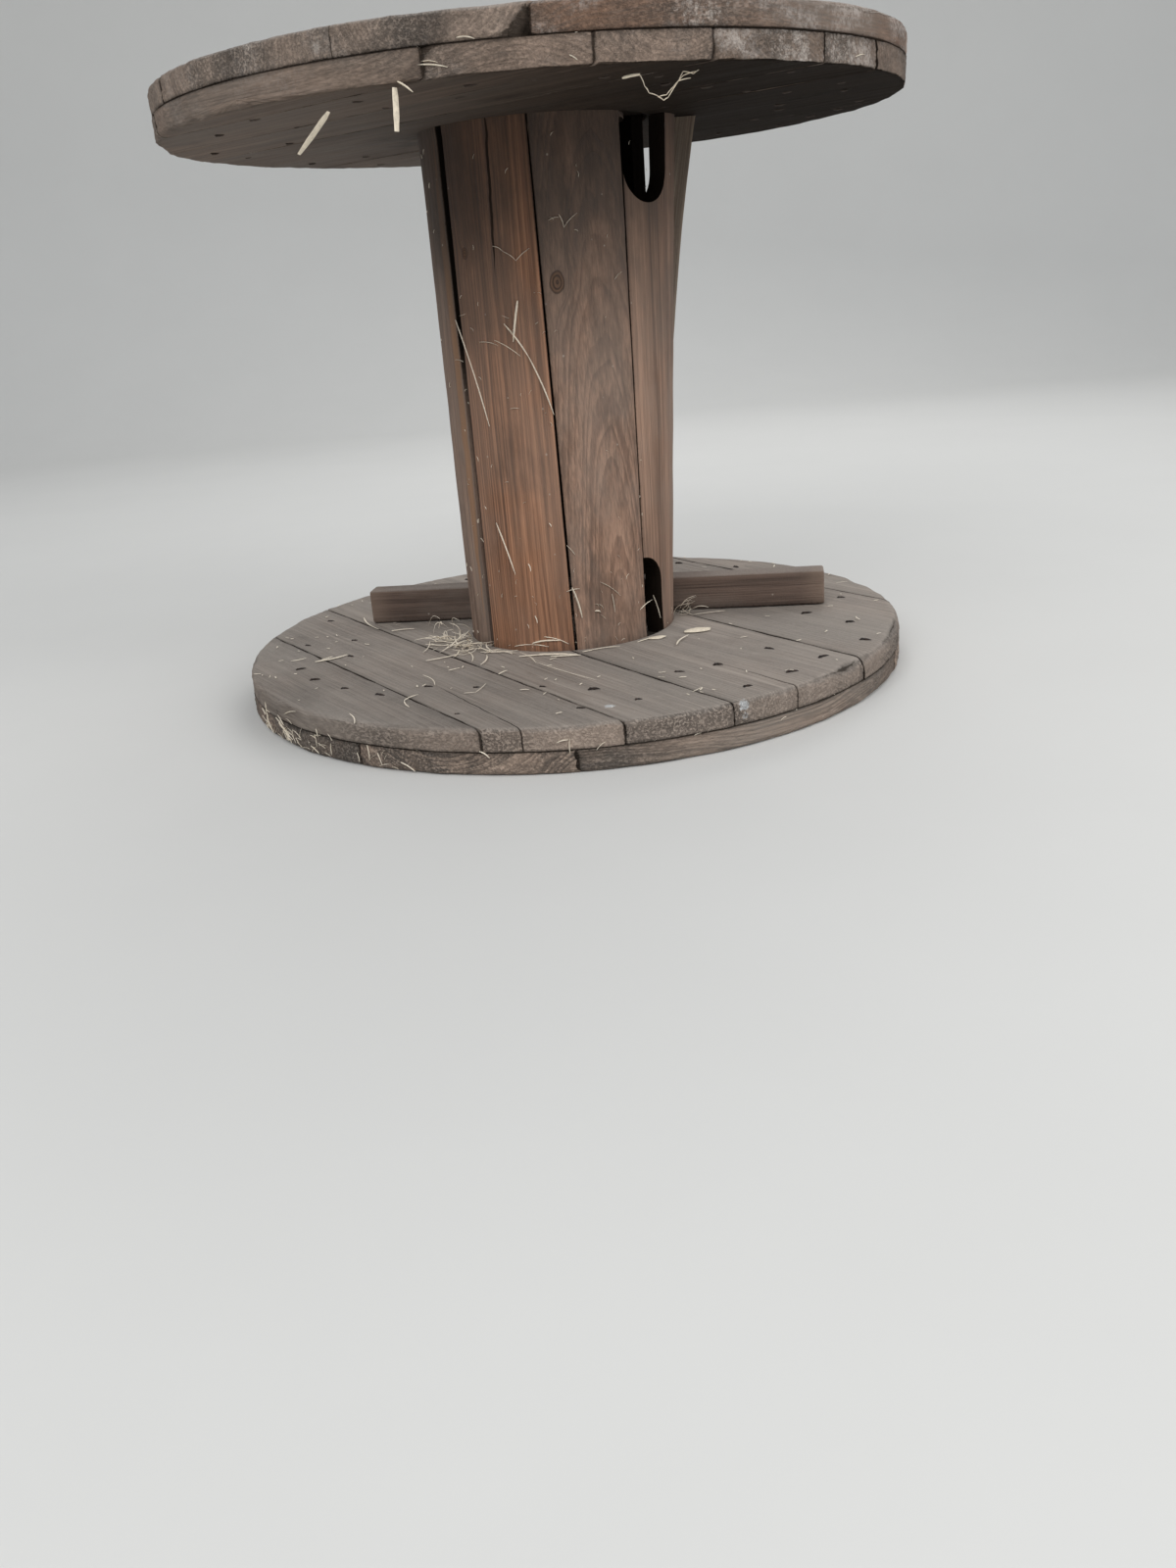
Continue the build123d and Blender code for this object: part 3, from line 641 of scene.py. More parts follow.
def board_surface(ply, number, sizes):
    """One board as a closed grid. Across it x runs between its joints, or on to the rim; along it y is a
    share of the half chord sqrt(R^2 - x^2). Both faces are such grids, and rows of the shared border,
    stepped in height, make the wall. Each face drops towards the rim and the joints along a quarter
    circle whose radius wanders, its middle lies a little lower, and the rim is drawn in by ripples."""
    base, across, joints, side, wear = PLIES[ply]
    limits = [-FLANGE_RADIUS] + [place for place, gap in joints] + [FLANGE_RADIUS]
    gaps = [0.0] + [gap * OPEN_GAP for place, gap in joints] + [0.0]
    low, high = limits[number - 1] + gaps[number - 1] / 2, limits[number] - gaps[number] / 2
    seed = 100 * (list(PLIES).index(ply) + 1) + number
    rng = np.random.default_rng(seed)
    step = sizes.mesh_step / MM
    low_rim, high_rim = number == 1, number == len(joints) + 1
    xs = spread(low, high, step, [NEAR_RIM if rim else NEAR_JOINT for rim in (low_rim, high_rim)])
    half = np.sqrt(np.maximum(FLANGE_RADIUS**2 - xs**2, 0.0))
    shares = spread(-half.max(), half.max(), step * 1.2, (NEAR_END, NEAR_END)) / half.max()
    x, y = np.broadcast_arrays(xs[:, None], half[:, None] * shares[None, :])
    rim_gap = FLANGE_RADIUS - np.hypot(x, y)
    joint_gap = np.minimum(1e6 if low_rim else x - low, 1e6 if high_rim else high - x)

    along = np.arctan2(y, x) * FLANGE_RADIUS
    rim_wear = wear * np.clip(0.95 + 0.30 * ripples(along, 0 * x, 70.0, seed + 5), 0.6, 1.35)
    azimuth = (azimuth_of(x, y) + across + 180) % 360 - 180
    if ply == "upper_inner_board":
        rim_wear = rim_wear * (1 - 0.6 * smooth(azimuth, -40, -18) * smooth(-azimuth, -100, -70))
    if ply == "lower_inner_board":
        rim_wear = rim_wear * (1 + 0.6 * smooth(azimuth, 30, 48) * smooth(-azimuth, -90, -65))
    edge_wear = 1.3 * np.clip(1.0 + 0.8 * ripples(y, 0 * x, 45.0, seed + 6), 0.3, 2.4)
    open_drop = drop(rim_gap, rim_wear) + drop(joint_gap, edge_wear)
    cup = sizes.cupping / MM * (1 - ((x - (low + high) / 2) / ((high - low) / 2)) ** 2)
    reach = np.hypot(x, y)
    open_drop = open_drop + cup * rng.uniform(0.3, 1.0) * smooth(reach, 130.0, 200.0)
    uneven = 0.35 * (1 + ripples(x * 2.5, y * 0.4, 50.0, seed + 7))
    open_drop = np.minimum(open_drop + uneven * smooth(reach, 130.0, 160.0), 15.0)
    meet_drop = drop(rim_gap, 1.5) + drop(joint_gap, 1.5)
    top = base + PLY - (open_drop if side > 0 else meet_drop)
    bottom = base + (open_drop if side < 0 else meet_drop)

    border = grid_border(len(xs), len(shares))
    top_points, bottom_points = (np.stack([x, y, z], -1).reshape(-1, 3) for z in (top, bottom))
    share = np.linspace(0, 1, WALL_ROWS + 2)[1:-1, None, None]
    wall = top_points[border] * (1 - share) + bottom_points[border] * share
    count, length = len(top_points), len(border)
    rings = [2 * count + k * length + np.arange(length) for k in range(WALL_ROWS)]
    rings = np.stack([border, *rings, count + border])
    after = np.roll(rings, -1, axis=1)
    wall_quads = np.stack([rings[:-1], rings[1:], after[1:], after[:-1]], -1).reshape(-1, 4)
    quads = grid_quads(len(xs), len(shares))
    faces = np.concatenate([quads, quads[:, ::-1] + count, wall_quads])

    x, y, z = np.concatenate([top_points, bottom_points, wall.reshape(-1, 3)]).T
    reach = np.maximum(np.hypot(x, y), 1e-6)
    inset = rim_inset(x, y, z, sizes.rim_relief / MM, seed + 10) + rng.uniform(0.0, 1.2)
    inset = inset * smooth(reach, FLANGE_RADIUS - 22.0, FLANGE_RADIUS - 1.0)
    x, y = x * (1 - inset / reach), y * (1 - inset / reach)
    wobble = 0.6 * (0.1 + 0.45 * ripples(y, z * 3, 90.0, seed + 20))
    if not low_rim:
        x = x + wobble * smooth(8.0 - (x - low), 0.0, 8.0)
    if not high_rim:
        x = x - wobble * smooth(8.0 - (high - x), 0.0, 8.0)
    return np.stack([*turned(x, y, radians(across)), np.clip(z, 0.0, HEIGHT)], -1), faces, low, high


def ply_cutter(ply):
    """The bore and the stepped rod holes as solids of revolution, and the ring groove of the staves."""
    base, side = PLIES[ply][0], PLIES[ply][3]
    low, high = base - 3.0, base + PLY + 3.0

    def hole(radius):
        return [(0, low), (radius, low), (radius, high), (0, high)]

    parts = [turned_profile(hole(ARBOR_RADIUS), 64)]
    for azimuth in ROD_ANGLES:
        profile = hole(ROD_HOLE)
        if "outer" in ply and side < 0:
            lip = base + RECESS_DEPTH
            profile[1:2] = [(RECESS_RADIUS, low), (RECESS_RADIUS, lip), (ROD_HOLE, lip)]
        if "outer" in ply and side > 0:
            lip = base + PLY - RECESS_DEPTH
            profile[2:3] = [(ROD_HOLE, lip), (RECESS_RADIUS, lip), (RECESS_RADIUS, high)]
        parts.append(turned_profile(profile, 32, around(azimuth, ROD_CIRCLE)))
    if "inner" in ply:
        floor, mouth = (base + PLY - GROOVE, high) if side > 0 else (base + GROOVE, low)
        inside, outside = STAVE_BACK - 0.5, BARREL_RADIUS + 0.5
        ring = [(inside, mouth), (outside, mouth), (outside, floor), (inside, floor)]
        parts.append(turned_profile(ring, 96))
    return new_piece("cutter", *joined(parts), merge=0.01)


def cleft_cutter(ply, place, length, width, seed):
    """A split that runs in from the rim: two jagged sides that meet inside, as a closed grid."""
    base, across = PLIES[ply][:2]
    rim = sqrt(FLANGE_RADIUS**2 - place**2) + 6.0
    heights = np.linspace(base - 2.0, base + PLY + 2.0, 7)
    inward, level = np.meshgrid(np.linspace(0.0, 1.0, 34), heights, indexing="ij")
    y = inward * (length + 6.0) - rim
    centre = place + 2.2 * ripples(y, level * 0.6, 70.0, seed) * inward
    centre = centre + 0.5 * ripples(y, level, 14.0, seed + 1)
    half = np.maximum(width / 2 * (1 - inward) ** 1.2, 0.12) * (1 + 0.3 * ripples(y, level, 20.0, seed + 2))
    sides = [np.stack([*turned(centre + s * half, y, radians(across)), level], -1) for s in (-1, 1)]
    return new_piece("cutter", *tube(np.concatenate([sides[0], sides[1][:, ::-1]], axis=1)))


# Open splits of boards: place across, length, width at the rim, and the seed of their jagged sides.
CLEFTS = {"lower_inner_board_4": (8.0, 120.0, 2.6, 28)}
# Corners broken off the upper flange: place of the joint's edge, the way into the board, whether from the
# upper face, and the size across, up and along the board.
CHIPS = {
    "upper_outer_board_4": (258.5, -1, False, (12.0, 22.0, 25.0)),
    "upper_inner_board_2": (-351.5, 1, True, (4.6, 8.0, 25.0)),
}


def chip_cutter(ply, edge, inward, from_top, sizes):
    """A broken corner: a cone of triangles from a tip outside the board to a rough slanting face, whose
    points lie on the plane through three given distances and wander off it."""
    base, across = PLIES[ply][:2]
    over = 8.0
    legs = np.diag(np.array(sizes) * (1 + sum(over / size for size in sizes)))
    share = np.linspace(0, 1, 9)
    a, b = np.meshgrid(share, share, indexing="ij")
    face = np.stack([(1 - a) * (1 - b), a * (1 - b), b], -1) @ legs
    rough = 1 + 0.05 * ripples(a * 30, b * 30, 13.0, 91)
    middle = (a > 0) & (a < 1) & (b > 0) & (b < 1)
    face = face * np.where(middle, rough, 1.0)[..., None]
    x, up, depth = np.concatenate([face.reshape(-1, 3), np.zeros((1, 3))]).T - over
    ring = grid_border(9, 9)
    fan = np.stack([ring, np.roll(ring, -1), np.full(len(ring), 81)], -1)
    level = turned(edge + inward * x, depth - sqrt(FLANGE_RADIUS**2 - edge**2), radians(across))
    points = np.stack([*level, base + PLY - up if from_top else base + up], -1)
    return new_piece("cutter", points, [*grid_quads(9, 9), *fan], merge=0.01)


def board_attributes(piece, name, ply, low, high, pith, shift):
    """Grain coordinates about the pith, and under the name wear two values: painted shade near the joints, on
    faces inside the board, along the seam of the plies at the rim and on the face of a chip, and how much of
    a point is end grain."""
    base, across = PLIES[ply][:2]
    x, y, height = coordinates(piece.data).T
    x, y = turned(x, y, -radians(across))
    z = height - base
    store(piece.data, "grain", (x - pith[0]) * MM, (y + shift) * MM, (z - pith[1]) * MM)
    reach = np.hypot(x, y)
    rim_gap = FLANGE_RADIUS - reach
    low_gap = np.where(low > -FLANGE_RADIUS + 1, x - low, 1e3)
    gap = np.minimum(low_gap, np.where(high < FLANGE_RADIUS - 1, high - x, 1e3))
    # Painted shade near the joints, and on faces inside the board away from the rim.
    joint = np.maximum(1 - smooth(gap, 0.2, 1.3), 0.18 * (1 - smooth(gap, 1.0, 10.0)))
    within = smooth(z, 1.5, 3.0) * smooth(PLY - z, 1.5, 3.0)
    joint = np.maximum(joint, within * smooth(rim_gap, 4.0, 7.0))
    # The face of a chip gets painted shadow and dirt.
    if name in CHIPS:
        edge, inward, from_top, size = CHIPS[name]
        depth = sqrt(FLANGE_RADIUS**2 - edge**2) + y
        up = PLY - z if from_top else z
        level = inward * (x - edge) / size[0] + up / size[1] + depth / size[2]
        joint = np.where((np.abs(level - 1) < 0.16) & (depth < size[2] + 2) & (rim_gap > 0.4), 0.93, joint)
    # Painted shade along the seam of the two plies on the rim.
    meet = np.minimum(np.abs(height - PLY), np.abs(height - (HEIGHT - PLY)))
    dark_meet = (1 - smooth(meet, 0.6, 2.6)) * (rim_gap < 6.0)
    end = np.abs(y) / np.maximum(reach, 1e-6) * (1 - smooth(rim_gap, 1.5, 9.0))
    store(piece.data, "wear", np.maximum(joint, dark_meet), end, 0 * end)


# Pale dried splashes and patches of chalk: board, centre and radius in metres, strength and colour.
PAINT = (0.62, 0.64, 0.65, 1)
CHALK = (0.52, 0.46, 0.41, 1)
SPLASHES = {
    "lower_inner_board_3": (((0.0297, -0.345, 0.049), 0.006, 0.75, PAINT),),
    "lower_inner_board_4": (
        ((0.1635, -0.362, 0.045), 0.0065, 0.75, PAINT), ((0.1650, -0.365, 0.034), 0.0045, 0.75, PAINT),
    ),
    "upper_outer_board_3": (
        ((-0.173, -0.3585, 0.645), 0.005, 0.5, CHALK), ((-0.238, -0.319, 0.657), 0.006, 0.3, CHALK),
    ),
    "upper_outer_board_5": (
        ((0.146, -0.371, 0.655), 0.026, 0.62, CHALK), ((0.385, -0.098, 0.648), 0.05, 0.45, CHALK),
    ),
    "upper_inner_board_4": (
        ((0.172, -0.360, 0.630), 0.016, 0.6, CHALK), ((0.232, -0.324, 0.622), 0.030, 0.68, CHALK),
    ),
    "upper_inner_board_5": (((0.285, -0.279, 0.625), 0.028, 0.6, CHALK),),
}
# Painted splits of boards: two ends across and along the board, and half the width, in millimetres.
BOARD_SPLITS = {
    "lower_inner_board_2": (((-251, -100), (-261.5, -262), 0.55), ((-259.5, -230), (-266.0, -340), 0.65)),
}
# Board tones: brightness, and share of the brown rim colour.
LOWER_TONES = ((0.72, 0.05), (0.9, 0.1), (1.12, 0.1), (1.06, 0.05), (1.0, 0.15), (1.16, 0.3))
UPPER_TONES = ((1.0, 0.2), (0.92, 0.1), (1.0, 0.35), (0.9, 0.1), (0.95, 0.3), (1.05, 0.2))
# What each ply's wood has that differs from the defaults of wood_material.
PLY_LOOKS = {
    "lower_outer_board": dict(
        dust_amount=0.4, grey_amount=0.5, contrast=0.85, end_dark=0.1, rough_end=0.55, cracks=0.55,
        relief=0.0012,
    ),
    "lower_inner_board": dict(
        dust_amount=0.5, contrast=0.6, dark_amount=0.35, end_dark=0.5, rough_end=0.6, cracks=0.12,
        relief=0.001,
    ),
    # The underside gets painted shade, stronger towards the right.
    "upper_inner_board": dict(
        grey_amount=0.25, dark_amount=0.55, contrast=0.45, end_dark=0.0, under_shade=0.95, rough_end=0.4,
    ),
    "upper_outer_board": dict(
        dust_amount=0.7, grey_amount=0.35, contrast=0.38, end_dark=0.0, chalk=0.2, rough_end=0.4,
    ),
}
# Brightness of each board of two plies, and the chalk on the boards of the upper flange's underside.
FOOT_TONES = (1.2, 1.2, 1.2, 1.85, 0.95)
UNDER_TONES = (1.05, 1.5, 1.4, 0.95, 0.95, 1.0, 1.05)
UNDER_CHALK = (0.1, 0.1, 0.1, 0.7, 0.5, 0.3, 0.3)


def board_look(ply, number, tone, brown):
    """The early wood's colour and the settings of one board's wood."""
    colours = bpy.context.scene.drum_colours
    look = dict(PLY_LOOKS[ply])
    if ply == "lower_inner_board":
        dark = number < 3
        look["end_tint"] = tinted(colours.rim, 1.7 if dark else 1.25, colours.dust, 0.35)
        if dark:
            look["end_dark"] = 0.75
        return tinted(colours.flange, tone, colours.rim, brown), look
    if ply == "lower_outer_board":
        return tinted(colours.rim, FOOT_TONES[number - 1], colours.flange, 0.3), look
    if ply == "upper_inner_board":
        look["chalk"] = UNDER_CHALK[number - 1]
        return tinted(colours.under, tone * UNDER_TONES[number - 1], colours.rim, 0.35), look
    if number == 5:
        look["chalk"] = 0.5
        return tinted(colours.rim, 0.46, colours.pine, 0.3), look
    return tinted(colours.rim, 1.05, colours.flange, 0.3), look


def make_board(ply, number):
    """Builds one board."""
    scene = bpy.context.scene
    name = f"{ply}_{number}"
    level = ply.split("_")[0]
    points, faces, low, high = board_surface(ply, number, scene.drum_sizes)
    middle = (low + high) / 2
    piece = new_piece(f"{name}_wood", points, faces, merge=0.02)
    cutters = []
    if low < BARREL_RADIUS + 1 and high > -BARREL_RADIUS - 1:
        cutters.append(ply_cutter(ply))
    if name in CLEFTS:
        cutters.append(cleft_cutter(ply, *CLEFTS[name]))
    if name in CHIPS:
        cutters.append(chip_cutter(ply, *CHIPS[name]))
    if cutters:
        cut(piece, cutters)
    seed = 31 * (list(PLIES).index(ply) + 1) + number
    rng = np.random.default_rng(seed)
    pith = (middle + rng.uniform(-35, 35), rng.choice((-1, 1)) * rng.uniform(25, 75))
    if name == "upper_outer_board_5":
        pith = (middle + 20.0, -180.0)
    shift = 1000.0 * (seed % 17)
    board_attributes(piece, name, ply, low, high, pith, shift)
    tone, brown = (LOWER_TONES if level == "lower" else UPPER_TONES)[(number - 1) % 6]
    early, look = board_look(ply, number, tone, brown)
    late = tinted(scene.drum_colours.flange_late, tone * (0.8 if level == "upper" else 1.0))
    splits = [
        (*(((x - pith[0]) * MM, (y + shift) * MM, 0) for x, y in ends), half * MM)
        for *ends, half in BOARD_SPLITS.get(name, ())
    ]
    material = wood_material(
        name, early, late, ring=rng.uniform(0.0034, 0.0056), splits=splits, splashes=SPLASHES.get(name, ()),
        **look,
    )
    finish_piece(piece, material, (name,))


def make_flange(level):
    """Builds all boards of one flange."""
    for ply in PLIES:
        if ply.startswith(level):
            for number in range(1, len(PLIES[ply][2]) + 2):
                make_board(ply, number)


def stave_loop(start, end):
    """The outline of a stave between two azimuths along one closed line: an arc outside with round corners,
    radial sides and a flat back."""
    arris = 1.5
    deep = BARREL_RADIUS - arris
    back = STAVE_BACK / cos(radians((end - start) / 2))
    corner = np.degrees(arris / BARREL_RADIUS)
    turn = np.radians(np.linspace(0, 90, 5))
    side = np.linspace(deep - 3.0, back, 6)
    azimuth = [
        start + corner * (1 - np.cos(turn[:-1])), np.linspace(start + corner, end - corner, 26),
        end - corner * (1 - np.sin(turn[1:])), np.full(6, end),
    ]
    radius = [
        deep + arris * np.sin(turn[:-1]), np.full(26, BARREL_RADIUS), deep + arris * np.cos(turn[1:]), side
    ]
    line = np.linspace(around(end, back), around(start, back), 12)[1:-1]
    front = around(np.concatenate(azimuth), np.concatenate(radius))
    return np.concatenate([front, line, around(start, side[::-1])])


def arc_angle(length):
    """The angle in degrees of a length along the outside of the barrel."""
    return np.degrees(length / BARREL_RADIUS)


def stave_limits():
    """Azimuths of each stave's two sides at its foot and at its top."""
    exit_place = turned(sqrt(BARREL_RADIUS**2 - BAR_FRONT**2), BAR_FRONT, BAR_ANGLE)
    after = azimuth_of(*exit_place) - arc_angle(1.0)
    turn = (360 - 51.5 - after) / 4
    plain = [after - arc_angle(18.5)] + [after + turn * k for k in range(4)]
    joints = [(-51.5, -51.5, 5.0, 10.0), (0.5, -2.5, 3.0, 1.0), (44.0, 46.5, 0.6, 0.6)]
    joints += [(place, place, 0.6, 0.6) for place in plain] + [(308.5, 308.5, 5.0, 10.0)]
    return [
        [(one[k] + arc_angle(one[k + 2]) / 2, two[k] - arc_angle(two[k + 2]) / 2) for k in (0, 1)]
        for one, two in zip(joints, joints[1:])
    ]


def swung(places, top, angle):
    """Level places turned about the slotted stave's left edge."""
    axis = around(top[0], BARREL_RADIUS)
    return np.stack(turned(*np.moveaxis(places - axis, -1, 0), angle), -1) + axis


def stave_end(number):
    """The height where a stave ends."""
    return SPRUNG_TOP if number in (SLOTTED, FILLER) else STAVE_TOP


def stave_points(number, foot, top, rows):
    """Rows of the stave's outline: the outline at the foot turns evenly into the one at the top. The slotted
    stave's top is swung about its left edge, and the filler follows a circle outwards."""
    rise = stave_end(number) - STAVE_FOOT
    share = rows[:, None, None]
    low = high = stave_loop(*foot)
    if number != FILLER:
        high = stave_loop(*top)
    if number == SLOTTED:
        high = swung(high, top, -SWING)
    flat = low[None] * (1 - share) + high[None] * share
    height = STAVE_FOOT + rise * share + 0 * flat[..., :1]
    if number == FILLER:
        radius = (rise**2 + BOW**2) / (2 * BOW)
        out = around(sum(foot) / 2, 1.0)
        lateral = flat - (flat @ out)[..., None] * out
        angle = np.arcsin((height[..., 0] - STAVE_FOOT) / radius)
        distance = radius - (flat @ out - BARREL_RADIUS)
        reach = BARREL_RADIUS + radius - distance * np.cos(angle)
        flat = lateral + reach[..., None] * out
        height = np.minimum((STAVE_FOOT + distance * np.sin(angle))[..., None], SPRUNG_TOP)
    return np.concatenate([flat, height], -1)


def stave_relief(points, number):
    """Draws the outside in and out by long ripples along the grain, only inwards. Ends in the grooves stay
    as they are."""
    x, y, z = np.moveaxis(points, -1, 0)
    azimuth = azimuth_of(x, y) * 2.2
    amount = 0.275 * (1 + ripples(azimuth, z * 0.25, 24.0, 40 + number))
    amount = amount + 0.125 * (1 + ripples(azimuth * 3, z * 0.3, 22.0, 60 + number))
    amount = 1 - amount * smooth(z, 52.0, 60.0) * smooth(-z, -606.0, -598.0) / np.hypot(x, y)
    return np.stack([x * amount, y * amount, z], -1)


def slot_cutter(centre, way, width, top, foot, depth, turn_down=False):
    """A slot with a round end as a closed prism: its outline stands across a level unit direction."""
    half, below = width / 2, 8.0
    arc = np.radians(np.linspace(0, 180, 25))
    u = np.concatenate([half * np.cos(arc), [-half, half]])
    z = np.concatenate([top - half + half * np.sin(arc), [foot - below, foot - below]])
    if turn_down:
        z = top + foot - z
    flat = centre + np.outer(u, (-way[1], way[0]))
    ends = [np.column_stack([flat + reach * way, z]) for reach in (-depth, depth)]
    return new_piece("cutter", *tube(np.stack(ends)))


def stave_slots(number, foot, top):
    """The cutters of the slots that a stave has."""
    if number == SLOTTED:
        low_way, high_way = around(foot[0], 1.0), around(top[0] + arc_angle(SLOT_WIDTH / 2), 1.0)
        centre = swung(high_way * BARREL_RADIUS, top, -SWING)
        high_way = np.array(turned(*high_way, -SWING))
        return [
            slot_cutter(low_way * BARREL_RADIUS, low_way, SLOT_WIDTH, SLOT_TOP, FLANGE_TOP, 36.0),
            slot_cutter(centre, high_way, SLOT_WIDTH, UNDERSIDE, 522.0, 36.0, turn_down=True),
        ]
    if number in (5, 7):
        low, high = BAR_SLOT
        way = np.array(turned(1.0, 0.0, BAR_ANGLE))
        centre = np.array(turned(0.0, (low + high) / 2, BAR_ANGLE))
        return [slot_cutter(centre, way, high - low, SLOT_TOP, FLANGE_TOP, 140.0)]
    return []


def stave_attributes(piece, number, foot, top):
    """Grain coordinates: around the barrel from the stave's middle, up the stave, and depth. Under the name
    wear: painted shade near the long edges and on faces behind the outside, and a darker foot from dirt and
    shade. Under the name inner: painted shade on the faces of the sides and the slots."""
    x, y, z = coordinates(piece.data).T
    share = np.clip((z - STAVE_FOOT) / (stave_end(number) - STAVE_FOOT), 0, 1)
    if number == SLOTTED:
        x, y = swung(np.stack([x, y], -1), top, SWING * share).T
    start, stop = (foot[k] + (top[k] - foot[k]) * share for k in (0, 1))
    azimuth = azimuth_of(x, y)
    azimuth = np.where(azimuth < start - 90, azimuth + 360, azimuth)
    azimuth = np.where(azimuth > stop + 90, azimuth - 360, azimuth)
    depth = np.hypot(x, y) - BARREL_RADIUS
    if number == FILLER:
        depth = depth - BOW * share**2
    pith, tilt = STAVES[number]["pith"], STAVES[number]["tilt"]
    across = np.radians(azimuth - (start + stop) / 2) * BARREL_RADIUS - pith[0]
    inwards = depth - pith[1] - tilt * (z - 200.0)
    store(piece.data, "grain", across * MM, z * MM + STAVE_SHIFT * number, inwards * MM)
    # Painted shade near the long edges and on faces behind the outside, with less of it low down on staves 1
    # and 8, and a darker foot from dirt and shade.
    gap = np.radians(np.minimum(np.abs(azimuth - start), np.abs(stop - azimuth))) * BARREL_RADIUS
    edge = (1 - smooth(gap, 0.2, 1.5)) * 0.7 + 0.2 * (1 - smooth(gap, 1.0, 9.0))
    bright_foot = number in (1, 8)
    high = smooth(z, 300.0, 400.0) if bright_foot else 1.0
    inside = (1 - smooth(depth, -5.0, -1.8)) * (0.1 + 0.9 * high)
    foot_dirt_and_shade = 0.4 * (1 - smooth(z, 51.0, 62.0))
    edge = np.maximum(np.clip(edge * (0.35 + 0.65 * high), 0, 1), np.maximum(foot_dirt_and_shade, inside))
    if number == FILLER:
        edge = edge * 0.2
    store(piece.data, "wear", edge, 0 * z, 0 * z)
    # Painted shade on the faces of the sides and the slots, less of it low down on staves 1 and 8, none on
    # the filler.
    faces = piece.data.polygons
    centre, normal = np.empty((2, len(faces) * 3))
    faces.foreach_get("center", centre)
    faces.foreach_get("normal", normal)
    x, y, z = centre.reshape(-1, 3).T / MM
    outwards = (x * normal[::3] + y * normal[1::3]) / np.maximum(np.hypot(x, y), 1.0)
    dark = 0.1 + 0.9 * smooth(z, 300.0, 400.0) if bright_foot else 0.97
    dark = np.where(outwards < 0.45, dark * (number != FILLER), 0.0)
    layer = piece.data.attributes.new("inner", "FLOAT", "FACE")
    layer.data.foreach_set("value", dark.astype(np.float32))


# How far apart the staves' grain lies in the noise, in metres, and the tint of the streak on the last one.
STAVE_SHIFT = 1.7
STREAK = (0.30, 0.155, 0.075, 1)
# Staves: pith across and behind the face in millimetres, its tilt, brightness, share of grey, ring width,
# contrast and stains.
STAVES = {
    1: dict(pith=(75, -40), tilt=0.0, tone=1.2, grey=0.08, ring=0.0042, contrast=0.7, stain=0.4),
    2: dict(pith=(11, -25), tilt=-0.13, tone=0.98, grey=0.34, ring=0.0054, contrast=0.64, stain=0.4),
    3: dict(pith=(-34, -60), tilt=0.0, tone=1.02, grey=0.36, ring=0.0060, contrast=0.6, stain=0.4),
    4: dict(pith=(5, -40), tilt=0.0, tone=1.08, grey=0.4, ring=0.004, contrast=0.5, stain=0.3),
    5: dict(pith=(20, -60), tilt=0.03, tone=1.0, grey=0.35, ring=0.0055, contrast=0.6, stain=0.4),
    6: dict(pith=(-12, -28), tilt=-0.09, tone=1.05, grey=0.2, ring=0.0058, contrast=0.7, stain=0.35),
    7: dict(pith=(15, -50), tilt=-0.04, tone=0.9, grey=0.35, ring=0.006, contrast=0.6, stain=0.4),
    8: dict(pith=(35, -55), tilt=0.0, tone=0.8, grey=0.45, ring=0.005, contrast=0.65, stain=0.5),
}
# Knots of staves: place across, height and radius. Splits: two ends and a half width.
KNOTS = {1: ((-34, 486, 4),), 2: ((-36, 450, 7.5),), 5: ((-20, 300, 9),), 7: ((25, 420, 11),)}
STAVE_SPLITS = {1: (((10, 640), (3, 455), 1.5),), 6: (((10, 90), (16, 300), 0.9),)}


def make_stave(number, foot, top):
    """Builds one stave."""
    colours = bpy.context.scene.drum_colours
    name, look, filler = f"stave_{number}", STAVES[number], number == FILLER
    points = stave_points(number, foot, top, np.linspace(0.0, 1.0, 96))
    piece = new_piece(f"{name}_wood", *tube(stave_relief(points, number)))
    cutters = stave_slots(number, foot, top)
    if cutters:
        cut(piece, cutters)
    stave_attributes(piece, number, foot, top)

    def in_grain(across, height):
        return (across - look["pith"][0]) * MM, height * MM + STAVE_SHIFT * number, 0

    early = tinted(colours.filler if filler else colours.pine, look["tone"], colours.flange, look["grey"])
    late_tone = look["tone"] * (1.2 if filler else 1.0)
    late = tinted(colours.pine_late, late_tone, colours.flange_late, look["grey"])
    knots = [(*in_grain(x, z)[:2], radius * MM) for x, z, radius in KNOTS.get(number, ())]
    splits = STAVE_SPLITS.get(number, ())
    # The staves get painted shade and dirt towards the top, and painted shade at their edges and on their
    # side and slot faces.
    material = wood_material(
        name, early, late, ring=look["ring"], wander=0.0045, contrast=look["contrast"], fibre=0.75,
        grey=tinted(colours.flange, 0.8), grey_amount=0.25 + look["grey"] * 0.5, dark_amount=look["stain"],
        knots=knots, splits=[(in_grain(*a), in_grain(*b), half * MM) for a, b, half in splits],
        streaks=[(in_grain(46, 60), in_grain(47, 640), 7 * MM, STREAK)] if number == 8 else (),
        cracks=0.12, relief=0.0006, shade_top=0.45 if filler else 0.82, dust_amount=0.4, edge_shade=1.0,
        wall_shade=True,
    )
    finish_piece(piece, material, (name,))


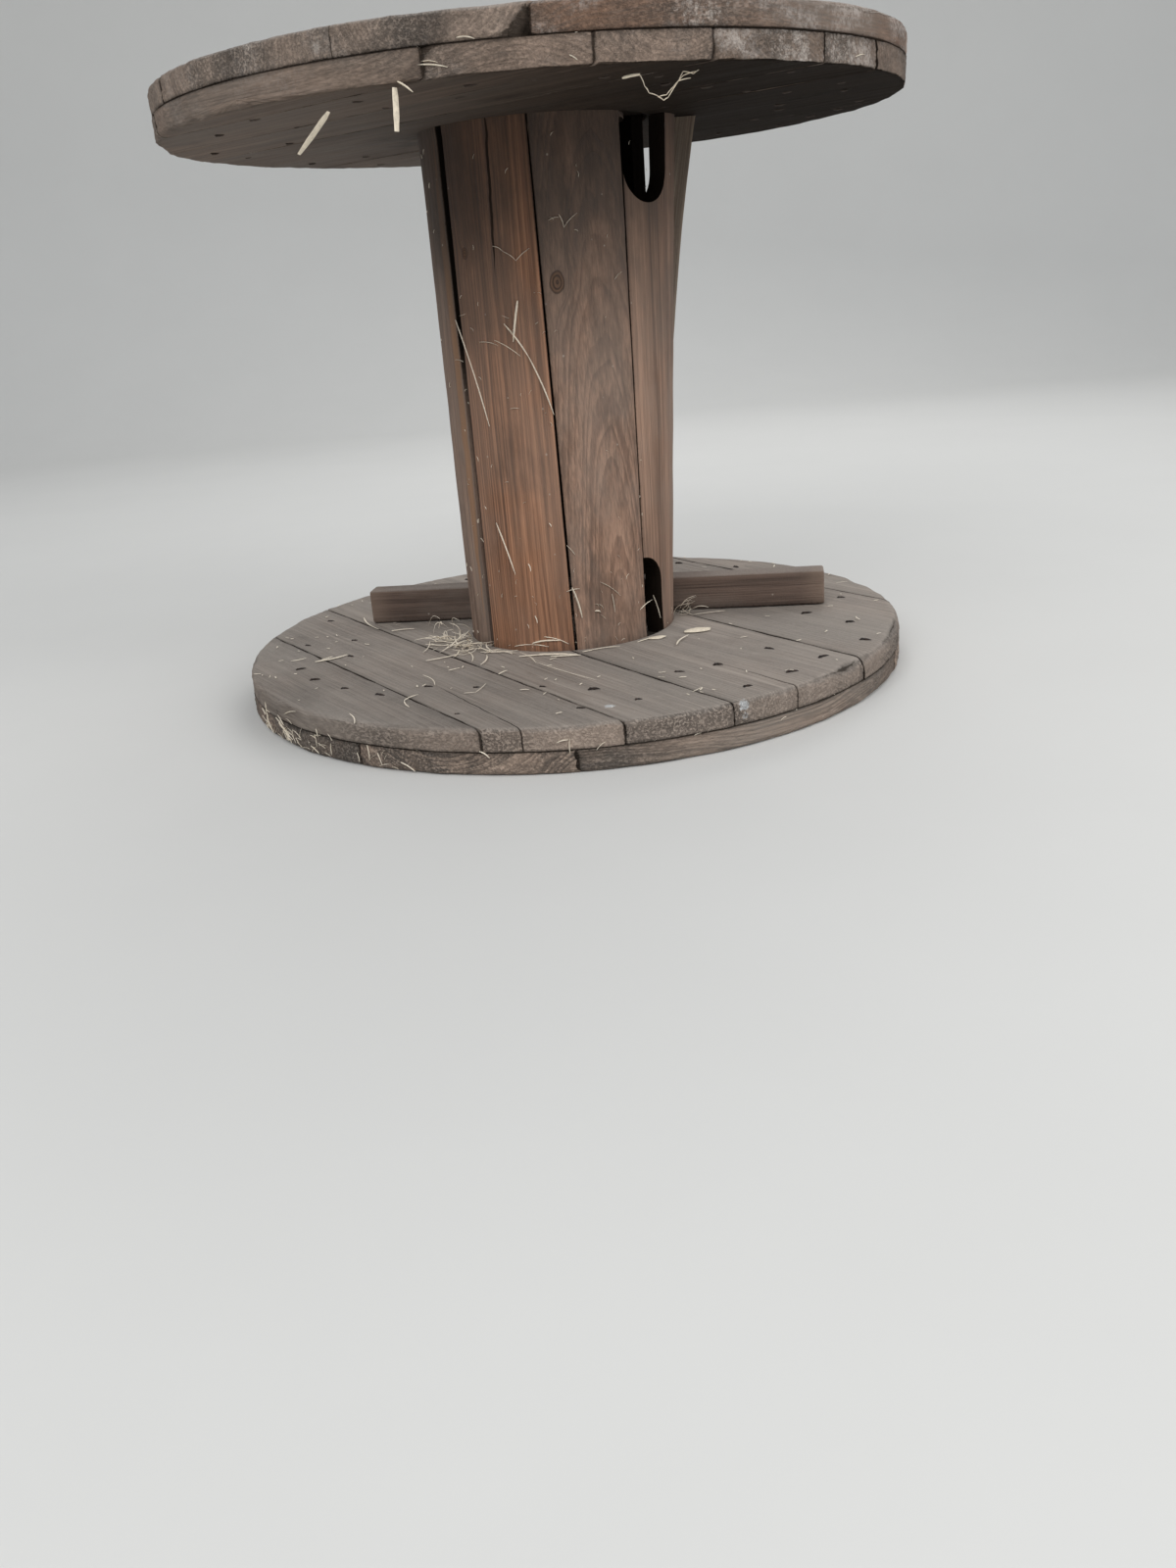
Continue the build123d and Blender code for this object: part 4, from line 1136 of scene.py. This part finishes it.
def make_bar():
    """The cross bar: a rounded rectangle carried along its length, with uneven arrises and rough ends."""
    colours = bpy.context.scene.drum_colours
    first, last = BAR_ENDS
    near = (0.05, 0.7, 1.6, 3.0)
    rows = spread(first, last, 7.0, (near, near))
    arris = 2.8
    front, back, bottom, top = BAR_FRONT + arris, BAR_BACK - arris, FLANGE_TOP + arris, BAR_TOP - arris
    arcs = []
    for y, z, start in ((back, top, 0), (front, top, 90), (front, bottom, 180), (back, bottom, 270)):
        angle = np.radians(np.linspace(start, start + 90, 4))
        arcs.append(np.stack([y + arris * np.cos(angle), z + arris * np.sin(angle)], -1))
    loop = []
    for arc, following in zip(arcs, arcs[1:] + arcs[:1]):
        loop += [arc, np.linspace(arc[-1], following[0], 7)[1:-1]]
    loop = np.concatenate(loop)
    middle = np.array([(BAR_FRONT + BAR_BACK) / 2, (FLANGE_TOP + BAR_TOP) / 2])
    near_end = np.clip(np.minimum(rows - first, last - rows) / 3.0, 0, 1)
    pull = 1.4 * (1 - np.sqrt(np.clip(1 - (1 - near_end) ** 2, 0, 1)))
    offset = (loop[None] - middle) * (1 - pull[:, None, None] / 16.0)
    wobble = 0.25 * (1 + ripples(rows[:, None] * 0.6, loop.sum(1)[None] * 3, 40.0, 5))
    size = np.maximum(np.hypot(*np.moveaxis(offset, -1, 0)), 1e-6)
    y, z = np.moveaxis(middle + offset * (1 - wobble / size)[..., None], -1, 0)
    x, y = turned(rows[:, None], y, BAR_ANGLE)
    piece = new_piece("cross_bar_wood", *tube(np.stack([x, y, np.maximum(z, FLANGE_TOP)], -1)))
    x, y, z = coordinates(piece.data).T
    along, depth = turned(x, y, -BAR_ANGLE)
    store(piece.data, "grain", (z - 110.0) * MM, along * MM, (depth - 95.0) * MM)
    end = 1 - smooth(np.minimum(along - first, last - along), 0.1, 34.0)
    # Painted shadow along the foot of the bar where it lies on the flange; the second value is end grain.
    store(piece.data, "wear", 0.8 * (1 - smooth(z, 50.5, 58.0)), end, 0 * z)
    material = wood_material(
        "cross_bar", tinted(colours.bar, 0.82), tinted(colours.flange_late, 0.6), ring=0.0065, contrast=0.2,
        grey=tinted(colours.flange, 0.8), dark_amount=0.75, end_dark=0.5, end_tint=tinted(colours.rim, 0.95),
        cracks=0.4, dust_amount=0.55, relief=0.0012, edge_shade=0.8,
    )
    finish_piece(piece, material, ("cross_bar",))


def rod_shape(centre, pitch):
    """A rod whose radius follows a helix near both ends: a wave of height less pitch times turns."""
    low, high, thread = 1.0, HEIGHT - 1.0, 34.0
    fine = np.arange(0.0, thread, pitch / 5.0)
    z = np.concatenate([low + fine, np.linspace(low + thread, high - thread, 24), high - fine[::-1]])
    level, turn = np.meshgrid(z, np.linspace(0, 2 * pi, 20, endpoint=False), indexing="ij")
    near = np.minimum(level - low, high - level)
    wave = np.abs(((level - pitch * turn / (2 * pi)) / pitch) % 1.0 - 0.5) * 2
    radius = ROD_RADIUS - 0.95 * (1 - wave) * (near < thread - 0.5)
    return tube(about(centre, np.minimum(radius, ROD_RADIUS - 1.0 + near), turn, level))


# Half the nut's width across its flats, its bore's radius and its height.
NUT_HALF, NUT_BORE, NUT_HEIGHT = 9.5, 6.15, 10.0
WASHER_HEIGHT = 4.0


def nut_shape(centre, base, phase):
    """A nut: a hexagon's radius, (width / 2) / cos of the angle from the middle of its flat, limited by a
    cone at both ends, round a plain bore."""
    angle = np.linspace(0, 2 * pi, 72, endpoint=False)
    hexagon = NUT_HALF / np.cos((angle - phase + pi / 6) % (pi / 3) - pi / 6)
    heights = np.array([0.0, 0.4, 0.9, 1.6, 5.0, 8.4, 9.1, 9.6, NUT_HEIGHT])
    cone = 9.2 + np.minimum(heights, NUT_HEIGHT - heights) * 1.75
    bore = np.full((len(angle), 2), NUT_BORE)
    radius = np.concatenate([np.minimum(hexagon[:, None], cone[None, :]), bore], 1)
    level = base + np.concatenate([heights, [NUT_HEIGHT, 0.0]])
    quads = grid_quads(*radius.shape, close_rows=True, close_columns=True)
    return about(centre, radius, angle[:, None], level).reshape(-1, 3), quads


def make_fastenings():
    """Builds the tie rods, nuts and washers."""
    scene = bpy.context.scene
    rust = scene.drum_colours.rust
    rod_steel = steel_material("rod_rust", tuple(rust))
    nut_steel = steel_material("nut_rust", tinted(rust, 0.8), 220.0)
    for index, azimuth in enumerate(ROD_ANGLES, 1):
        centre = around(azimuth, ROD_CIRCLE)
        rod = new_piece(f"tie_rod_{index}_steel", *rod_shape(centre, scene.drum_sizes.thread_pitch / MM))
        finish_piece(rod, rod_steel, (f"tie_rod_{index}",), 50.0)
        for level, base, low in (("lower", 2.0, 12.0), ("upper", HEIGHT - 12.0, HEIGHT - 16.0)):
            high = low + WASHER_HEIGHT
            profile = [
                (6.5, low + 0.3), (6.8, low), (21.2, low), (22.0, low + 0.8), (22.0, high - 0.8),
                (21.2, high), (6.8, high), (6.5, high - 0.3),
            ]
            nut = nut_shape(centre, base, radians(azimuth) + 0.3 * index)
            for kind, shape in (("nut", nut), ("washer", turned_profile(profile, 56, centre))):
                name = f"{level}_{kind}_{index}"
                finish_piece(new_piece(f"{name}_steel", *shape), nut_steel, (name,))


# Clinched nails on the lower flange: place in millimetres. The rest of both rings is filled in by rule.
NAILS = (
    (107, -245), (151, -231), (215, -182), (171, -317), (223, -279), (266, -234), (13, -283), (58, -330),
    (-2, -343), (-40, -258), (284, -40), (324, -178), (325, -98), (-303, -157), (-261, -203), (-218, -237),
    (-166, -222),
)


def nail_places():
    """Places of the clinched nails: those seen, and two even rings for the part that was not seen."""
    places = [np.array(place, dtype=float) for place in NAILS]
    rng = np.random.default_rng(12)
    for radius, count in ((272.0, 15), (345.0, 19)):
        for k in range(count):
            place = around(360.0 * k / count + rng.uniform(-5, 5), radius + rng.uniform(-10, 10))
            if min(np.hypot(*(place - other)) for other in places) > 48.0:
                places.append(place)
    return places


def bent_nail(place, height, angle, length, up):
    """A clinched nail point: a flattened six-sided bar carried along a line that rises from the wood, lies
    along it and sinks back in."""
    along = (np.linspace(0, 1, 7)[:, None] - 0.25) * length
    lift = np.array([-1.2, 0.75, 0.95, 0.8, 0.65, 0.35, -0.9])[:, None] * up
    width = np.array([1.6, 2.4, 1.5, 2.1, 1.7, 1.1, 0.6])[:, None]
    turn = np.linspace(0, 2 * pi, 6, endpoint=False)
    x, y = turned(along, width * np.cos(turn), angle)
    z = height + lift + up * (0.55 * width * np.sin(turn))
    return tube(np.stack([place[0] + x, place[1] + y, z], -1))


def make_nails():
    """Builds the clinched nails on the two faces that look at the barrel."""
    colours = bpy.context.scene.drum_colours
    rng = np.random.default_rng(4)
    steel = steel_material("nail_rust", tuple(colours.nail), 300.0, 0.12)
    dull = steel_material("nail_dull", tinted(colours.under, 0.3), 300.0, 0.05)
    for level, height, up, spin in (("lower", FLANGE_TOP, 1.0, 0.0), ("upper", UNDERSIDE, -1.0, 1.1)):
        parts = []
        for place in nail_places():
            sunk = rng.uniform(0.9, 1.6) if spin else rng.uniform(0.2, 1.3)
            if place[0] < 0 and not spin:
                sunk = 0.95 + 0.45 * sunk
            angle = radians(rng.uniform(-38, 38) - 12)
            place = turned(*place, spin)
            parts.append(bent_nail(place, height - up * sunk, angle, rng.uniform(9, 16), up))
        piece = new_piece(f"{level}_nails", *joined(parts))
        finish_piece(piece, steel if up > 0 else dull, (), 50.0)


def straw_shape(start, end, width, sag, roll, blunt=0.35):
    """A piece of straw: a flat four-sided tube carried along a shallow arc between two points, its ends at
    least the blunt share of its width."""
    start, end = np.array(start, dtype=float), np.array(end, dtype=float)
    share = np.linspace(0, 1, 7)[:, None]
    line = start + (end - start) * share
    way = (end - start) / max(np.linalg.norm(end - start), 1e-6)
    side = np.cross(way, (0, 0, 1.0))
    side = side / max(np.linalg.norm(side), 1e-6)
    lift = np.cross(side, way)
    line = line + (side * cos(roll) + lift * abs(sin(roll))) * (sag * np.sin(pi * share))
    corner = np.array([[1, 0], [0, 0.5], [-1, 0], [0, -0.5]]) * width * 0.7
    taper = np.clip(np.sin(pi * np.linspace(0.12, 0.93, 7)) * 1.4, blunt, 1.0)[:, None, None]
    ring = (corner[:, :1] * side + corner[:, 1:] * lift)[None] * taper
    return tube(line[:, None] + ring)


# Straw on the lower flange: two ends as x and y, and the width.
FLOOR_STRAW = (
    (-175, -123, -135, -104, 1.6), (-343, -72, -325, -66, 1.2), (-311, -86, -276, -64, 2.2),
    (-305, -81, -293, -67, 1.4), (-109, -160, -104, -118, 1.5), (-87, -204, -78, -190, 1.6),
    (-62, -270, -52, -270, 1.2), (-185, -274, -172, -255, 1.4), (-185, -274, -177, -298, 1.0),
    (-66, -138, 2, -148, 2.2), (-42, -136, -10, -141, 3.4), (-29, -149, 6, -153, 2.4),
    (8, -139, 22, -132, 1.6), (-65, -119, -46, -168, 0.8), (-46, -168, 20, -257, 0.7),
    (-122, -264, -110, -266, 0.7), (-110, -266, -100, -233, 0.7), (-173, -183, -156, -227, 0.8),
    (-112, -104, -92, -105, 1.4), (-131, -88, -120, -141, 1.2), (-96, -102, -70, -122, 1.2),
    (-233, 34, -204, 38, 1.8), (-280, 120, -251, 48, 1.4), (-239, -303, -229, -338, 0.9),
    (101, -98, 73, -116, 2.0), (117, -143, 135, -104, 1.6), (146, 10, 175, 46, 1.2), (140, 43, 150, -10, 1.0),
    (192, -3, 150, -10, 1.0), (20, -136, 52, -131, 1.4), (-150, -60, -120, -84, 1.6),
    (-182, -48, -140, -66, 1.4),
)
# Straw and chaff stuck to the barrel: two ends as azimuth and height, and the width.
BARREL_STRAW = (
    (-53, 420, -36, 307, 1.6), (-14, 435, -18, 394, 3.6), (-22, 413, -11, 378, 2.6), (-11, 378, -1, 316, 2.4),
    (-49, 424, -19, 418, 1.1), (-28, 397, -15, 379, 1.2), (-37, 396, -26, 391, 0.9),
    (-38, 200, -29, 141, 1.8), (1, 124, 5, 88, 3.2), (-2, 120, 5, 122, 1.3), (2, 175, 2, 154, 1.0),
    (22, 111, 23, 89, 1.2), (16, 127, 27, 107, 0.9), (39, 85, 49, 92, 1.2), (50, 97, 56, 66, 1.2),
    (-23, 325, -18, 325, 0.8), (-21, 154, -20, 145, 1.8), (-20, 93, -19, 84, 1.6), (-52, 198, -51, 203, 2.0),
    (0, 173, 4, 161, 0.9), (-50, 376, -58, 378, 0.8), (12, 94, 15, 92, 2.6), (-8, 199, -7, 195, 1.6),
    (4, 510, 9, 512, 1.0), (9, 515, 11, 502, 1.0), (11, 502, 18, 515, 1.0), (-23, 60, -8, 63, 3.0),
    (-34, 55, -14, 56, 1.8), (-16, 68, -3, 58, 1.4), (-24, 490, -19, 484, 1.0), (-19, 484, -13, 474, 0.8),
    (-13, 474, -6, 485, 0.9), (36, 448, 41, 455, 1.0),
)
# The same on the rims.
RIM_STRAW = (
    (-3.6, 34, -2.0, 36, 1.6), (-1.8, 37, -1.9, 21, 1.4), (1.8, 23, 3.2, 31, 1.2),
    (-14.9, 27, -13.5, 20, 2.0), (-56.7, 21, -52.3, 8, 2.6), (-54.0, 35, -49.8, 44, 1.6),
    (-66.7, 12, -60.8, 4, 1.2), (-62.4, 36, -62.6, 8, 1.4), (-51.2, 12, -50.3, 5, 1.0),
    (-33.6, 25, -33.5, 8, 1.2), (-31.8, 18, -31.2, 5, 1.2), (-27.8, 11, -25.4, 2, 1.6),
    (-12.9, 622, -9.3, 618, 1.8), (-12.4, 624, -10.4, 622, 1.0), (-7.9, 638, -5.8, 636, 1.6),
    (5.0, 619, 5.9, 615, 1.6), (48.0, 618, 50.4, 621, 1.2),
)


def scatter_straw():
    """Straw and chaff: the pieces seen, a tangle at the barrel's left foot, and loose bits by rule. A piece
    of straw lies on the flange, or against the barrel or the rim."""
    rng = np.random.default_rng(21)
    parts = []
    base = FLANGE_TOP + 0.7

    def lying(x0, y0, x1, y1, width, rise=1.0):
        length = sqrt((x1 - x0) ** 2 + (y1 - y0) ** 2)
        start, end = (x0, y0, base + rng.uniform(0, rise)), (x1, y1, base + rng.uniform(0, rise))
        parts.append(straw_shape(start, end, width, rng.uniform(-0.1, 0.1) * length, 0.0))

    def strewn(azimuth, radius, turn, length, width, rise):
        x, y = around(azimuth, radius)
        lying(x, y, x + length * cos(turn), y + length * sin(turn), width, rise)

    def against(a0, z0, a1, z1, width, radius):
        places = around(np.array([a0, (a0 + a1) / 2, a1]), radius)
        start, middle, end = np.column_stack([places, [z0, (z0 + z1) / 2, z1]])
        bulge = np.linalg.norm(middle - (start + end) / 2)
        parts.append(straw_shape(start, end, width, bulge + rng.uniform(0.3, 1.2), 1.5))

    for row in FLOOR_STRAW:
        lying(*row)
    for row in BARREL_STRAW:
        against(*row, BARREL_RADIUS + 0.9)
    for row in RIM_STRAW:
        against(*row, FLANGE_RADIUS - 1.4)
    for _ in range(130):
        azimuth, radius = rng.uniform(-180, 180), FLANGE_RADIUS - 12 - 240 * rng.uniform(0, 1) ** 1.6
        turn, length = rng.uniform(0, pi), rng.uniform(2, 9) * rng.choice((1.0, 2.0), p=(0.8, 0.2))
        strewn(azimuth, radius, turn, length, rng.uniform(0.5, 1.3), 0.3)
    for _ in range(14):
        azimuth, radius = rng.uniform(-62, -34), rng.uniform(131, 150)
        turn, length = radians(azimuth) + rng.uniform(-0.9, 0.9), rng.uniform(5, 22)
        strewn(azimuth, radius, turn, length, rng.uniform(0.6, 1.6), 1.5)
    for _ in range(64):
        along = rng.uniform(0, 1) ** 1.4
        x, y = rng.normal(-146 + 38 * along, 11), rng.normal(-38 - 62 * along, 11)
        if np.hypot(x, y) < 132:
            continue
        turn, length = rng.uniform(0, 2 * pi), rng.uniform(12, 48) * (1 - 0.4 * along)
        dx, dy = length * cos(turn), length * sin(turn)
        if np.hypot(x + dx, y + dy) < 131:
            dx, dy = -dx, -dy
        low, high = rng.uniform(0, 5), rng.uniform(0, 22) * rng.choice((0.15, 1.0)) * (1 - 0.7 * along)
        bow = rng.uniform(-0.13, 0.13) * length
        start, end, width = (x, y, base + low), (x + dx, y + dy, base + high), rng.uniform(0.6, 1.5)
        parts.append(straw_shape(start, end, width, bow, rng.uniform(0, 1.4)))
    for _ in range(7):
        x, y, z = -150 + rng.uniform(-14, 12), -30 + rng.uniform(-14, 6), base + rng.uniform(6, 26)
        end = (x + rng.uniform(-22, 18), y + rng.uniform(-8, 8), max(base, z - rng.uniform(2, 20)))
        width, bow, roll = rng.uniform(0.7, 1.3), rng.uniform(5, 12), rng.uniform(0.8, 1.5)
        parts.append(straw_shape((x, y, z), end, width, bow, roll))
    for _ in range(52):
        azimuth = rng.choice((-61.0, -56.0, -51.0, -45.0, -33.0)) + rng.normal(0, 2.2)
        z, step = rng.uniform(4, 27), rng.uniform(-2.8, 2.8)
        radius = FLANGE_RADIUS - 0.8
        against(azimuth, z, azimuth + step, max(3.0, z + rng.uniform(-16, 10)), rng.uniform(0.4, 1.1), radius)
    for _ in range(9):
        x, y, z = 128 + rng.uniform(-4, 26), 2 + rng.uniform(-12, 8), base + rng.uniform(0, 8)
        turn, length = rng.uniform(-0.8, 0.8), rng.uniform(9, 26)
        end = (x + length * cos(turn), y + 0.5 * length * sin(turn), z + rng.uniform(-3, 16))
        width, bow, roll = rng.uniform(0.7, 1.3), rng.uniform(-8, 8), rng.uniform(0.6, 1.5)
        parts.append(straw_shape((x, y, z), end, width, bow, roll))
    for _ in range(110):
        azimuth, z = rng.uniform(-80, 80), 54 + 540 * rng.uniform(0, 1) ** 1.7
        step, rise = rng.uniform(-2.5, 2.5), rng.uniform(-6, 6)
        against(azimuth, z, azimuth + step, z + rise, rng.uniform(0.3, 0.8), BARREL_RADIUS + 0.3)
    for _ in range(110):
        azimuth, z = rng.uniform(-180, 180), rng.choice((26.0, 26.0, 634.0)) + rng.normal(0, 4.0)
        step, rise = rng.uniform(-1.6, 1.6), rng.uniform(-3, 3)
        against(azimuth, z, azimuth + step, z + rise, rng.uniform(0.6, 1.3), FLANGE_RADIUS - 3.0)
    return joined(parts)


def flake_shape(centre, length, width, thick, turn):
    """A thin oval flake: rings of an ellipse that wanders, closed above and below."""
    angle = np.linspace(0, 2 * pi, 16, endpoint=False)
    rough = 1 + 0.18 * ripples(np.cos(angle) * 3, np.sin(angle) * 3, 4.0, int(length))
    scale, level = np.array([(0.0, 0.0), (0.8, 0.0), (1.0, 0.5), (0.75, 1.0), (0.0, 1.1)]).T[..., None]
    u, v = scale * length / 2 * np.cos(angle) * rough, scale * width / 2 * np.sin(angle) * rough
    points = np.stack(np.broadcast_arrays(*turned(u, v, turn), thick * level), -1) + centre
    return points.reshape(-1, 3), list(grid_quads(5, 16, close_columns=True))


# Splinters that hang under the upper flange's rim: azimuth and height along each.
HOOKS = (
    (
        (11.6, 602), (13.8, 604), (14.4, 595), (14.9, 590), (16.2, 587), (17.2, 588), (18.2, 594),
        (19.6, 602), (21.4, 605),
    ),
    ((16.0, 587), (16.8, 584), (17.4, 586), (18.9, 598), (20.6, 600)),
    ((19.0, 599), (19.6, 605), (21.0, 603), (21.8, 606)),
)


def make_straw():
    """Builds the straw, the pale flakes and the splinters."""
    colours = bpy.context.scene.drum_colours
    straw = new_piece("straw_bits", *scatter_straw())
    dry = dry_material("dry_straw", tuple(colours.straw), tinted(colours.straw, 0.74))
    finish_piece(straw, dry, (), 60.0)
    parts = [
        flake_shape((148, -84, FLANGE_TOP + 0.2), 35, 20, 1.8, 0.16),
        flake_shape((97, -103, FLANGE_TOP + 0.2), 23, 13, 1.6, 0.3),
        straw_shape((-110, -381, 608), (-112.5, -380, 576), 7.5, 0.8, 0.0, 0.8),
        straw_shape((-170, -358, 597), (-202, -341, 569), 6.5, 2.0, 0.4, 0.6),
        straw_shape((-107, -384, 612), (-95, -387, 603), 2.2, 2.0, 0.4),
    ]
    for hook in HOOKS:
        for (a0, z0), (a1, z1) in zip(hook, hook[1:]):
            start, end = ((*around(a, FLANGE_RADIUS - 14.0), z) for a, z in ((a0, z0), (a1, z1)))
            parts.append(straw_shape(start, end, 3.4 if a0 < 12 else 1.1, 0.5, 0.6, 0.7))
    flakes = new_piece("wood_flakes", *joined(parts), merge=0.02)
    pale = dry_material("pale_splinters", tuple(colours.chaff), tinted(colours.chaff, 0.75), 260.0)
    finish_piece(flakes, pale, (), 60.0)


def make_floor():
    """A floor and a backdrop as one sheet: level under the drum, then a quarter circle up to a wall."""
    colours = bpy.context.scene.drum_colours
    flat = np.linspace(-4.0, 3.0, 30)
    bend = np.radians(np.linspace(3, 90, 30))
    y = np.concatenate([flat, 3.0 + 1.6 * np.sin(bend), np.full(8, 4.6)])
    z = np.concatenate([np.zeros(30), 1.6 - 1.6 * np.cos(bend), np.linspace(1.9, 6.0, 8)])
    x = np.linspace(-9.0, 9.0, 20)
    grid = np.stack(np.broadcast_arrays(x[None, :], y[:, None], z[:, None]), -1)
    points = grid.reshape(-1, 3) / MM
    floor = new_piece("floor", points, grid_quads(len(y), len(x)))
    if floor.data.polygons[0].normal.z < 0:
        floor.data.flip_normals()
    material, t, shader = new_material("pale_floor", 0.9, 0.1)
    mottled = t.noise(t.place(), 3.0, detail=5.0, rough=0.6)
    color = t.mix(mottled.step(0.3, 0.7), tinted(colours.floor, 0.985), tuple(colours.floor))
    t.put(shader.inputs["Base Color"], color)
    floor.data.materials.append(material)
    floor.data.shade_smooth()


def add_lamp(name, place, target, size, power):
    """A square soft lamp that looks at a point."""
    lamp = bpy.data.lights.new(name, "AREA")
    lamp.shape, lamp.size, lamp.energy = "SQUARE", size, power
    holder = bpy.data.objects.new(name, lamp)
    holder.location = place
    holder.rotation_euler = (Vector(target) - Vector(place)).to_track_quat("-Z", "Y").to_euler()
    bpy.context.scene.collection.objects.link(holder)


def make_stage():
    """Floor, soft lamps, world and the camera at the photograph's angle."""
    scene = bpy.context.scene
    make_floor()
    world = bpy.data.worlds.new("soft_daylight")
    scene.world = world
    world.use_nodes = True
    t = Tree(world.node_tree)
    path = t.wires(t.add("ShaderNodeLightPath", output=None))
    seen = t.most(path["Is Camera Ray"], path["Is Glossy Ray"])
    back = world.node_tree.nodes["Background"]
    t.put(back.inputs["Color"], t.mix(seen, (0.92, 0.96, 1.0, 1), (0.86, 0.87, 0.88, 1)))
    t.put(back.inputs["Strength"], seen * 0.45 + 0.55)
    add_lamp("key", (-1.3, -2.9, 2.7), (0, 0, 0.35), 2.2, 55.0)
    add_lamp("fill", (2.5, -2.0, 2.0), (0, 0, 0.35), 2.6, 56.0)
    add_lamp("back", (0.6, 2.4, 2.6), (0, 0, 0.4), 2.0, 35.0)
    yaw, pitch, roll = radians(0.0761), radians(-21.417), radians(-4.690)
    forward = Vector((sin(yaw) * cos(pitch), cos(yaw) * cos(pitch), sin(pitch)))
    right0 = Vector((cos(yaw), -sin(yaw), 0.0))
    up0 = right0.cross(forward)
    right = right0 * cos(roll) + up0 * sin(roll)
    up = up0 * cos(roll) - right0 * sin(roll)
    camera = bpy.data.cameras.new("camera")
    camera.lens = 29.347
    camera.sensor_width = 36.0
    camera.sensor_fit = "AUTO"
    holder = bpy.data.objects.new("camera", camera)
    turn = Matrix((right, up, -forward)).transposed().to_4x4()
    holder.matrix_world = Matrix.Translation((0.0, -1.5718, 0.4486)) @ turn
    scene.collection.objects.link(holder)
    scene.camera = holder
    scene.view_settings.view_transform = "Standard"


class DRUM_OT_lower_flange(bpy.types.Operator):
    """Build the boards of the lower flange"""

    bl_idname = "drum.lower_flange"
    bl_label = "Lower Flange"

    def execute(self, context):
        make_flange("lower")
        return {"FINISHED"}


class DRUM_OT_upper_flange(bpy.types.Operator):
    """Build the boards of the upper flange"""

    bl_idname = "drum.upper_flange"
    bl_label = "Upper Flange"

    def execute(self, context):
        make_flange("upper")
        return {"FINISHED"}


class DRUM_OT_barrel(bpy.types.Operator):
    """Build the eight staves of the barrel"""

    bl_idname = "drum.barrel"
    bl_label = "Barrel"

    def execute(self, context):
        for number, (foot, top) in enumerate(stave_limits(), 1):
            make_stave(number, foot, top)
        return {"FINISHED"}


class DRUM_OT_cross_bar(bpy.types.Operator):
    """Build the batten that passes through the foot of the barrel"""

    bl_idname = "drum.cross_bar"
    bl_label = "Cross Bar"

    def execute(self, context):
        make_bar()
        return {"FINISHED"}


class DRUM_OT_fastenings(bpy.types.Operator):
    """Build the tie rods with their nuts and washers"""

    bl_idname = "drum.fastenings"
    bl_label = "Rods and Nuts"

    def execute(self, context):
        make_fastenings()
        return {"FINISHED"}


class DRUM_OT_nails(bpy.types.Operator):
    """Build the clinched nails of both flanges"""

    bl_idname = "drum.nails"
    bl_label = "Nails"

    def execute(self, context):
        make_nails()
        return {"FINISHED"}


class DRUM_OT_straw(bpy.types.Operator):
    """Build the straw and the splinters that lie on the drum"""

    bl_idname = "drum.straw"
    bl_label = "Straw"

    def execute(self, context):
        make_straw()
        return {"FINISHED"}


class DRUM_OT_stage(bpy.types.Operator):
    """Set up the floor, the lamps and the camera"""

    bl_idname = "drum.stage"
    bl_label = "Stage"

    def execute(self, context):
        make_stage()
        return {"FINISHED"}


class DRUM_PT_panel(bpy.types.Panel):
    """Sidebar panel with the drum's colours, sizes and pieces"""

    bl_idname = "DRUM_PT_panel"
    bl_label = "Cable Drum"
    bl_space_type = "VIEW_3D"
    bl_region_type = "UI"
    bl_category = "Cable Drum"

    def draw(self, context):
        layout = self.layout
        for group in (context.scene.drum_colours, context.scene.drum_sizes):
            for name in group.__annotations__:
                layout.prop(group, name)
        for operator in OPERATORS:
            layout.operator(operator.bl_idname)


OPERATORS = (
    DRUM_OT_lower_flange,
    DRUM_OT_upper_flange,
    DRUM_OT_barrel,
    DRUM_OT_cross_bar,
    DRUM_OT_fastenings,
    DRUM_OT_nails,
    DRUM_OT_straw,
    DRUM_OT_stage,
)
CLASSES = (DrumColours, DrumSizes, *OPERATORS, DRUM_PT_panel)


def register():
    for item in CLASSES:
        bpy.utils.register_class(item)
    bpy.types.Scene.drum_colours = bpy.props.PointerProperty(type=DrumColours)
    bpy.types.Scene.drum_sizes = bpy.props.PointerProperty(type=DrumSizes)


def unregister():
    del bpy.types.Scene.drum_sizes
    del bpy.types.Scene.drum_colours
    for item in reversed(CLASSES):
        bpy.utils.unregister_class(item)


def main():
    """Builds the drum and its stage."""
    register()
    bpy.ops.drum.lower_flange()
    bpy.ops.drum.upper_flange()
    bpy.ops.drum.barrel()
    bpy.ops.drum.cross_bar()
    bpy.ops.drum.fastenings()
    bpy.ops.drum.nails()
    bpy.ops.drum.straw()
    bpy.ops.drum.stage()


if __name__ == "__main__":
    main()
